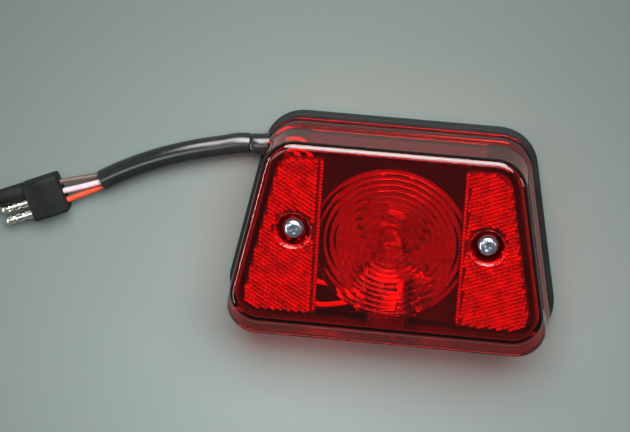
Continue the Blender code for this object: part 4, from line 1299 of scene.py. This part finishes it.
# cells in staggered rows, kept inside the panel's outline and off the screw boss
def reflexTree(name, inputs, material):
    tree, given, output = newTree(name, inputs)
    grid = tree.nodes.new("GeometryNodeMeshGrid")
    rowGap = calculate(tree, "MULTIPLY", given["Pitch"], math.sqrt(3) / 2)
    for label, count, gap in (("X", "Columns", given["Pitch"]), ("Y", "Rows", rowGap)):
        feed(tree, grid.inputs[f"Vertices {label}"], given[count])
        gaps = calculate(tree, "SUBTRACT", given[count], 1.0)
        feed(tree, grid.inputs[f"Size {label}"], calculate(tree, "MULTIPLY", gap, gaps))
    index = tree.nodes.new("GeometryNodeInputIndex").outputs[0]
    odd = calculate(tree, "MODULO", calculate(tree, "MODULO", index, given["Rows"]), 2.0)
    shift = calculate(tree, "MULTIPLY", odd, calculate(tree, "MULTIPLY", given["Pitch"], 0.5))
    staggered = tree.nodes.new("GeometryNodeSetPosition")
    tree.links.new(grid.outputs[0], staggered.inputs["Geometry"])
    feed(tree, staggered.inputs["Offset"], vectorOf(tree, shift, 0.0, 0.0))
    moved = tree.nodes.new("GeometryNodeTransform")
    tree.links.new(staggered.outputs[0], moved.inputs["Geometry"])
    feed(tree, moved.inputs["Rotation"], vectorOf(tree, 0.0, 0.0, given["Row Turn"]))
    centre = vectorOf(tree, given["Centre X"], given["Mid Y"], given["Base Z"])
    feed(tree, moved.inputs["Translation"], centre)
    position = tree.nodes.new("GeometryNodeInputPosition").outputs[0]
    apart = tree.nodes.new("ShaderNodeSeparateXYZ")
    tree.links.new(position, apart.inputs[0])
    out = calculate(tree, "MULTIPLY", apart.outputs["X"], given["Side"])
    up = calculate(tree, "SUBTRACT", apart.outputs["Y"], given["Mid Y"])
    narrowing = calculate(tree, "MULTIPLY", up, given["Side Slope"])
    outerHere = calculate(tree, "SUBTRACT", given["Outer Edge"], narrowing)
    high = calculate(tree, "ABSOLUTE", up)
    inside = calculate(tree, "GREATER_THAN", out, given["Inner Edge"])
    past = []
    for value, limit in ((out, outerHere), (high, given["Half Height"])):
        inside = calculate(tree, "MULTIPLY", inside, calculate(tree, "LESS_THAN", value, limit))
        beyond = calculate(tree, "ADD", calculate(tree, "SUBTRACT", value, limit), given["Corner"])
        past.append(calculate(tree, "MAXIMUM", beyond, 0.0))
    inCorner = calculate(tree, "LESS_THAN", lengthOf(tree, *past), given["Corner"])
    fromBossX = calculate(tree, "SUBTRACT", apart.outputs["X"], given["Boss X"])
    fromBossY = calculate(tree, "SUBTRACT", apart.outputs["Y"], given["Boss Y"])
    bossGap = lengthOf(tree, fromBossX, fromBossY)
    clearOfBoss = calculate(tree, "GREATER_THAN", bossGap, given["Boss Radius"])
    inside = calculate(tree, "MULTIPLY", inside, calculate(tree, "MULTIPLY", inCorner, clearOfBoss))
    shapeInfo = tree.nodes.new("GeometryNodeObjectInfo")
    feed(tree, shapeInfo.inputs["Object"], given["Shape"])
    copies = tree.nodes.new("GeometryNodeInstanceOnPoints")
    tree.links.new(moved.outputs[0], copies.inputs["Points"])
    tree.links.new(inside, copies.inputs["Selection"])
    tree.links.new(shapeInfo.outputs["Geometry"], copies.inputs["Instance"])
    feed(tree, copies.inputs["Rotation"], vectorOf(tree, 0.0, 0.0, given["Row Turn"]))
    finishTree(tree, copies.outputs[0], material, output)
    return tree


def reflexOutline(sign, shape):
    high, slope = shape["halfHeight"], lensShape["sideSlope"]
    corners = [
        (shape["innerEdge"], -high),
        (shape["outerEdge"] + slope * high, -high),
        (shape["outerEdge"] - slope * high, high),
        (shape["innerEdge"], high),
    ]
    points = roundedPolygon(corners, (1.2, shape["corner"], shape["corner"], 1.2), 14)
    return [Vector((sign * point.x, point.y + midY)) for point in points]


def makeReflexPanel(side, shape):
    spot = screwSpots[side]
    sign = math.copysign(1.0, spot.x)
    low = boxOf(f"reflex_panel_{side}")[0]
    outline, plateTop = reflexOutline(sign, shape), low.z + shape["plate"]
    plate = loft(f"reflexPanel{side.title()}", ((outline, low.z), (outline, plateTop)))
    bossHole = lensShape["boss"] + 0.3
    where = Matrix.Translation((spot.x, spot.y, 0))
    combine(plate, rod("hole", bossHole, 0.0, faceZ, 64, where))
    material = finishes["redReflex"]
    values = {
        "Shape": cubeCornerCell(shape["pitch"], shape["cellShrink"], shape["rowShare"]),
        "Pitch": shape["pitch"],
        "Columns": shape["columns"],
        "Rows": shape["rows"],
        "Row Turn": math.radians(shape["rowTurn"][side]),
        "Centre X": sign * (shape["innerEdge"] + shape["outerEdge"]) / 2,
        "Mid Y": midY,
        "Base Z": plateTop - 0.05,
        "Side": sign,
        "Inner Edge": shape["innerEdge"] + shape["edgeColumn"] + shape["pitch"] * 0.38,
        "Outer Edge": shape["outerEdge"] - shape["pitch"] * 0.4,
        "Side Slope": lensShape["sideSlope"],
        "Half Height": shape["halfHeight"] - shape["pitch"] * 0.4,
        "Corner": shape["corner"] - shape["pitch"] * 0.5,
        "Boss X": spot.x,
        "Boss Y": spot.y,
        "Boss Radius": bossHole + shape["pitch"] * 0.55,
    }
    tree = reflexTree(f"reflexCells{side.title()}", values, material)
    cells = grown("cells", tree, values, values["Shape"])
    column = shape["edgeColumn"]
    width, length = (column * share for share in shape["squareShare"])
    square = squareCell(width, length, shape["squareHeight"])
    count = int(2 * (shape["halfHeight"] - 0.6) / column)
    startX = sign * (shape["innerEdge"] + column / 2)
    start = (startX, midY - (count - 1) * column / 2, plateTop - 0.05)
    edge = row("edge", square, count, start, (0.0, column, 0.0), material)
    panel = joined(plate, cells, edge)
    dress(panel, "redReflex", "lens_cover", f"reflex_panel_{side}")


for side in screwSpots:
    makeReflexPanel(side, reflexShape)
print("reflex panels made")


# small ribs side by side on the straight part of the top wall's inside
def makeFlutes(shape):
    innerY = midY + shape["top"] - shape["wall"]
    straight = shape["halfWidth"] - shape["sideSlope"] * shape["top"] - shape["cornerTop"] - 1.0
    width = shape["fluteWidth"]
    low, high = shape["beadTopZ"] - 3.0, ceilingZ - shape["innerFillet"] - 0.4
    half = width * 0.46
    section = (
        (-half, 0.03),
        (half, 0.03),
        (half, -0.02),
        (half * 0.5, -0.42),
        (0.0, -0.55),
        (-half * 0.5, -0.42),
        (-half, -0.02),
    )
    vertices = [(x, y, z) for z in (low, high) for x, y in section]
    count = len(section)
    faces = [(k, (k + 1) % count, count + (k + 1) % count, count + k) for k in range(count)]
    faces += [tuple(range(count)), tuple(range(2 * count - 1, count - 1, -1))]
    rib = rawShape("rib", vertices, faces)
    number = int(2 * straight / width)
    start, step = (-(number - 1) * width / 2, innerY, 0.0), (width, 0.0, 0.0)
    flutes = row("lensTopFlutes", rib, number, start, step, finishes["redLens"])
    smoothSides(flutes.data, 50.0)
    dress(flutes, "redLens", "lens_cover")


makeFlutes(lensShape)


screwShape = {
    "shaft": 1.85,
    "head": 4.0,
    "headHeight": 2.2,
    "cross": 5.2,
    "crossWidth": 1.25,
    "crossDepth": 1.5,
    "crossNarrowing": 0.62,
    "crossTurn": {"left": 20.0, "right": -12.0},
    "threadPitch": 0.8,
    "sealHole": 2.2,
}


def makeLensScrew(side, shape):
    low, high = boxOf(f"lens_screw_{side}")
    where = Matrix.Translation((screwSpots[side].x, screwSpots[side].y, 0))
    top, head = high.z, shape["head"]
    under = top - shape["headHeight"]
    shaft = shape["shaft"]
    profile = [(0.0, low.z), (shaft - 0.8, low.z), (shaft - 0.25, low.z + 1.0)]
    z = low.z + 1.4
    while z < under - 1.0:  # turned thread
        profile += [(shaft - 0.3, z), (shaft, z + 0.25), (shaft, z + 0.35), (shaft - 0.3, z + 0.6)]
        z += shape["threadPitch"]
    rim = under + 0.75
    profile += [(shaft - 0.1, under), (head - 0.15, under), (head, under + 0.15), (head, rim)]
    for step in range(1, 9):  # pan head
        angle = math.radians(90 * step / 8)
        dome = (shape["headHeight"] - 0.75) * math.sin(angle)
        profile.append((head * (0.42 + 0.58 * math.cos(angle)), rim + dome))
    profile.append((0.0, top))
    screw = turned(f"lensScrew{side.title()}", profile, 64, where, 28.0)
    spot = where @ Matrix.Rotation(math.radians(shape["crossTurn"][side]), 4, "Z")
    place = Matrix.Translation(spot.to_translation() * mm) @ spot.to_3x3().to_4x4()
    half, wide = shape["cross"] / 2, shape["crossWidth"] / 2
    for long, short in ((half, wide), (wide, half)):
        bottom = top - shape["crossDepth"]
        cutter = block("slot", (-long, -short, bottom), (long, short, top + 1.0))
        for vertex in cutter.data.vertices:  # the recess narrows downwards
            share = shape["crossNarrowing"] if vertex.co.z < (top - 1.0) * mm else 1.0
            vertex.co.x *= share if long > short else 1.0
            vertex.co.y *= share if short > long else 1.0
        cutter.data.transform(place)
        combine(screw, cutter, smoothAngle=28.0)
    dress(screw, "zincSteel", f"screw_{side}", f"lens_screw_{side}")
    sealLow, sealHigh = boxOf(f"screw_seal_{side}")
    inner, outer = shape["sealHole"], (sealHigh.x - sealLow.x) / 2
    low, high = sealLow.z, sealHigh.z
    rounded = (
        (inner, low),
        (outer - 0.2, low),
        (outer, low + 0.2),
        (outer, high - 0.2),
        (outer - 0.2, high),
        (inner, high),
    )
    seal = turned(f"screwSeal{side.title()}", rounded, 48, where)
    dress(seal, "sealRubber", "lens_cover", f"screw_seal_{side}")


for side in screwSpots:
    makeLensScrew(side, screwShape)
print("screws made")


dress(reworked("housing", "housingTray", 0.15), "blackPlastic", "lamp", "housing")
dress(reworked("lens_gasket", "lensGasket", 0.2), "sealRubber", "lamp", "lens_gasket")
for side in screwSpots:
    insert = reworked(f"thread_insert_{side}", f"threadInsert{side.title()}", 0.08)
    dress(insert, "brass", "lamp", f"thread_insert_{side}")
dress(reworked("reflector_plate", "reflectorPlate", 0.1), "brightSteel", "lamp", "reflector_plate")


bulbZ = 20.5
alongY = Matrix.Rotation(math.radians(-90), 4, "X")  # turns a height into a place along +Y
alongBulb = Matrix.Translation((0, 0, bulbZ)) @ alongY
bulbShape = {
    "glassRadius": 13.25,
    "glassWall": 0.9,
    "neck": 6.4,
    "shoulder": 7.2,
    "baseWall": 0.7,
    "pinRadius": 1.0,
    "pins": ((90.0, 6.3), (270.0, 8.9)),
    "pinEnd": 8.85,
    "filamentHalf": 3.2,
    "filamentRadius": 0.3,
    "filamentWire": 0.08,
    "filamentTurns": 16,
}
baseLow, baseHigh = boxOf("bulb_base")
glassLow, glassHigh = boxOf("bulb_glass")


def makeBulb(shape):
    rim, top = baseLow.y, baseHigh.y
    centre = glassHigh.y - shape["glassRadius"]
    low, flare = glassLow.y, top + 1.5
    start = math.pi - math.asin(shape["shoulder"] / shape["glassRadius"])
    neck, glassWall = shape["neck"], shape["glassWall"]
    outer = [(neck, low), (neck, flare - 0.6)]
    inner = [(neck - glassWall, low), (neck - glassWall, flare - 0.6)]
    steps = 28
    for step in range(steps + 1):
        angle = start * (1 - step / steps)
        for line, inset in ((outer, 0.0), (inner, glassWall)):
            radius = shape["glassRadius"] - inset
            line.append((max(0.0, radius * math.sin(angle)), centre + radius * math.cos(angle)))
    outer[-1], inner[-1] = (0.0, outer[-1][1]), (0.0, inner[-1][1])
    glass = turned("bulbGlass", list(reversed(outer)) + inner, 72, alongBulb, 60.0)
    dress(glass, "bulbGlass", "bulb", "bulb_glass")
    radius = (baseHigh.x - baseLow.x) / 2
    wall = radius - shape["baseWall"]
    profile = [(wall, rim), (radius - 0.1, rim), (radius, rim + 0.1)]
    for bead in (0.80, 0.88):  # rolled beads below the glass
        y = rim + (top - rim) * bead
        profile += [(radius, y - 0.5), (radius - 0.22, y - 0.2)]
        profile += [(radius - 0.22, y + 0.2), (radius, y + 0.5)]
    profile += [(radius, top - 0.3), (radius - 0.3, top), (wall, top)]
    base = turned("bulbBase", profile, 72, alongBulb, 40.0)
    for angle, height in shape["pins"]:
        thick, end = shape["pinRadius"], shape["pinEnd"]
        pinProfile = (
            (0.0, wall + 0.1),
            (thick, wall + 0.1),
            (thick, end - 0.25),
            (thick - 0.25, end),
            (0.0, end),
        )
        spot = alongBulb @ Matrix.Translation((0, 0, rim + height))
        spot = spot @ Matrix.Rotation(math.radians(angle), 4, "Z") @ alongX
        combine(base, turned("pin", pinProfile, 28, spot), "UNION", 40.0)
    dress(base, "brass", "bulb", "bulb_base")
    for node, name, finish in (
        ("bulb_insulator", "bulbInsulator", "blackGlass"),
        ("bulb_contact_tail", "bulbContactTail", "solder"),
        ("bulb_contact_stop", "bulbContactStop", "solder"),
    ):
        dress(reworked(node, name, 0.12), finish, "bulb", node)
    dress(reworked("bulb_stem", "bulbStem", 0.2), "bulbGlass", "bulb", "bulb_stem")
    for label in ("tail", "stop"):
        for end in ("a", "b"):
            node = f"support_wire_{label}_{end}"
            support = reworked(node, f"supportWire{label.title()}{end.upper()}", 0.0, 60.0)
            dress(support, "nickel", "bulb", node)
        low, high = boxOf(f"filament_{label}")
        middle = (low + high) / 2
        thick = shape["filamentWire"]
        wire = coil(
            f"filament{label.title()}",
            finishes["tungsten"],
            turns=shape["filamentTurns"],
            radius=shape["filamentRadius"] * 0.72,
            height=2 * shape["filamentHalf"] - 2 * thick,
            wire=thick,
            sides=6,
            perTurn=14,
        )
        place = Vector(((low.x + thick) * mm, middle.y * mm, middle.z * mm))
        wire.data.transform(Matrix.Translation(place) @ alongX)
        dress(wire, "tungsten", "bulb", f"filament_{label}")


makeBulb(bulbShape)
print("bulb made")


for node, name, finish, body in (
    ("socket_shell", "socketShell", "zincSteel", "lamp"),
    ("socket_end_cap", "socketEndCap", "fibre", "lamp"),
    ("socket_bracket", "socketBracket", "zincSteel", "lamp"),
    ("bracket_rivet_left", "bracketRivetLeft", "brightSteel", "lamp"),
    ("bracket_rivet_right", "bracketRivetRight", "brightSteel", "lamp"),
    ("ground_terminal", "groundTerminal", "brass", "lamp"),
    ("contact_disc", "contactDisc", "fibre", "contact_carrier"),
    ("socket_contact_tail", "socketContactTail", "brass", "contact_carrier"),
    ("socket_contact_stop", "socketContactStop", "brass", "contact_carrier"),
):
    dress(reworked(node, name, 0.1), finish, body, node)

springShape = {"turns": 2.25, "radius": 5.7, "wire": 0.35, "pushed": 1.8}


def makeSpring(shape):
    low, high = boxOf("contact_spring")
    height = high.y - low.y
    wire = shape["wire"]
    spring = coil(
        "contactSpring",
        finishes["springSteel"],
        turns=shape["turns"],
        radius=shape["radius"],
        height=height - 2 * wire,
        wire=wire,
        sides=12,
        perTurn=40,
    )
    place = Vector((0, low.y + wire, bulbZ)) * mm
    spring.data.transform(Matrix.Translation(place) @ alongY)
    dress(spring, "springSteel", "lamp", "contact_spring")
    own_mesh(spring)


makeSpring(springShape)


leadShape = {"radius": 1.1, "contactX": 3.3}
leadRoutes = {
    "tail": (
        (-8.0, -39.0, 9.6),
        (-14.0, -35.8, 7.6),
        (-22.0, -37.0, 6.8),
        (-33.0, -39.4, 6.8),
        (-45.0, -33.6, 6.8),
        (-52.2, -18.0, 6.8),
        (-53.0, -2.0, 6.8),
        (-51.6, 12.0, 6.8),
        (-48.4, 21.0, 6.8),
        (-46.0, 25.6, 6.8),
    ),
    "stop": (
        (2.4, -40.4, 9.6),
        (0.0, -37.6, 8.4),
        (-5.0, -34.8, 8.3),
        (-13.0, -33.2, 9.2),
        (-22.0, -36.2, 9.3),
        (-33.0, -37.0, 8.7),
        (-42.0, -29.0, 6.8),
        (-47.6, -14.0, 6.8),
        (-49.0, 2.0, 6.8),
        (-46.0, 17.0, 6.8),
        (-42.4, 26.0, 6.8),
    ),
    "ground": (
        (-3.5, -24.4, 8.3),
        (-13.0, -26.7, 8.3),
        (-20.0, -28.0, 7.4),
        (-29.5, -28.2, 6.8),
        (-37.4, -25.4, 6.8),
        (-38.8, -17.0, 6.8),
        (-34.9, -5.0, 6.8),
        (-34.2, 8.0, 6.8),
        (-35.0, 18.0, 6.8),
        (-37.5, 28.0, 6.8),
    ),
}


def makeLeads(shape):
    low, high = boxOf("cord_boot")
    bootX, bootY = high.x + 0.3, (low.y + high.y) / 2
    ends = {
        "tail": ((bootX + 2.4, bootY - 2.9), (bootX, bootY - 2.7)),
        "stop": ((bootX + 4.0, bootY - 0.2), (bootX, bootY)),
    }
    capHigh = boxOf("socket_end_cap")[1]
    shellLow = boxOf("socket_shell")[0]
    reach = shape["contactX"]
    for label, x, colour in (("tail", -reach, "Brown"), ("stop", reach, "Orange")):
        leadLow = boxOf(f"lead_{label}")[0]
        dropY = leadLow.y + shape["radius"]
        drop = (
            (x, capHigh.y - 0.4, bulbZ),
            (x, shellLow.y - 0.3, bulbZ),
            (x, dropY, bulbZ - 1.8),
            (x, dropY, bulbZ - 6.0),
        )
        floorZ = leadLow.z + shape["radius"]
        route = list(drop) + list(leadRoutes[label]) + [(*end, floorZ) for end in ends[label]]
        lead = tubeCurve(f"lead{label.title()}", smoothRoute(route, 1.0), shape["radius"], 4)
        dress(lead, f"wire{colour}", "lamp", f"lead_{label}")
    tab = boxOf("ground_terminal")[0]
    rivetLow, rivetHigh = boxOf("bracket_rivet_right")
    startX = tab.x - 0.3 - shape["radius"]
    start = (startX, (rivetLow.y + rivetHigh.y) / 2, leadRoutes["ground"][0][2])
    floorZ = boxOf("lead_ground")[0].z + shape["radius"]
    into = ((bootX + 7.0, bootY + 2.5, floorZ), (bootX, bootY + 2.7, floorZ))
    route = smoothRoute([start, *leadRoutes["ground"], *into], 1.0)
    lead = tubeCurve("leadGround", route, shape["radius"], 4)
    dress(lead, "wireWhite", "lamp", "lead_ground")


makeLeads(leadShape)
print("socket and leads made")
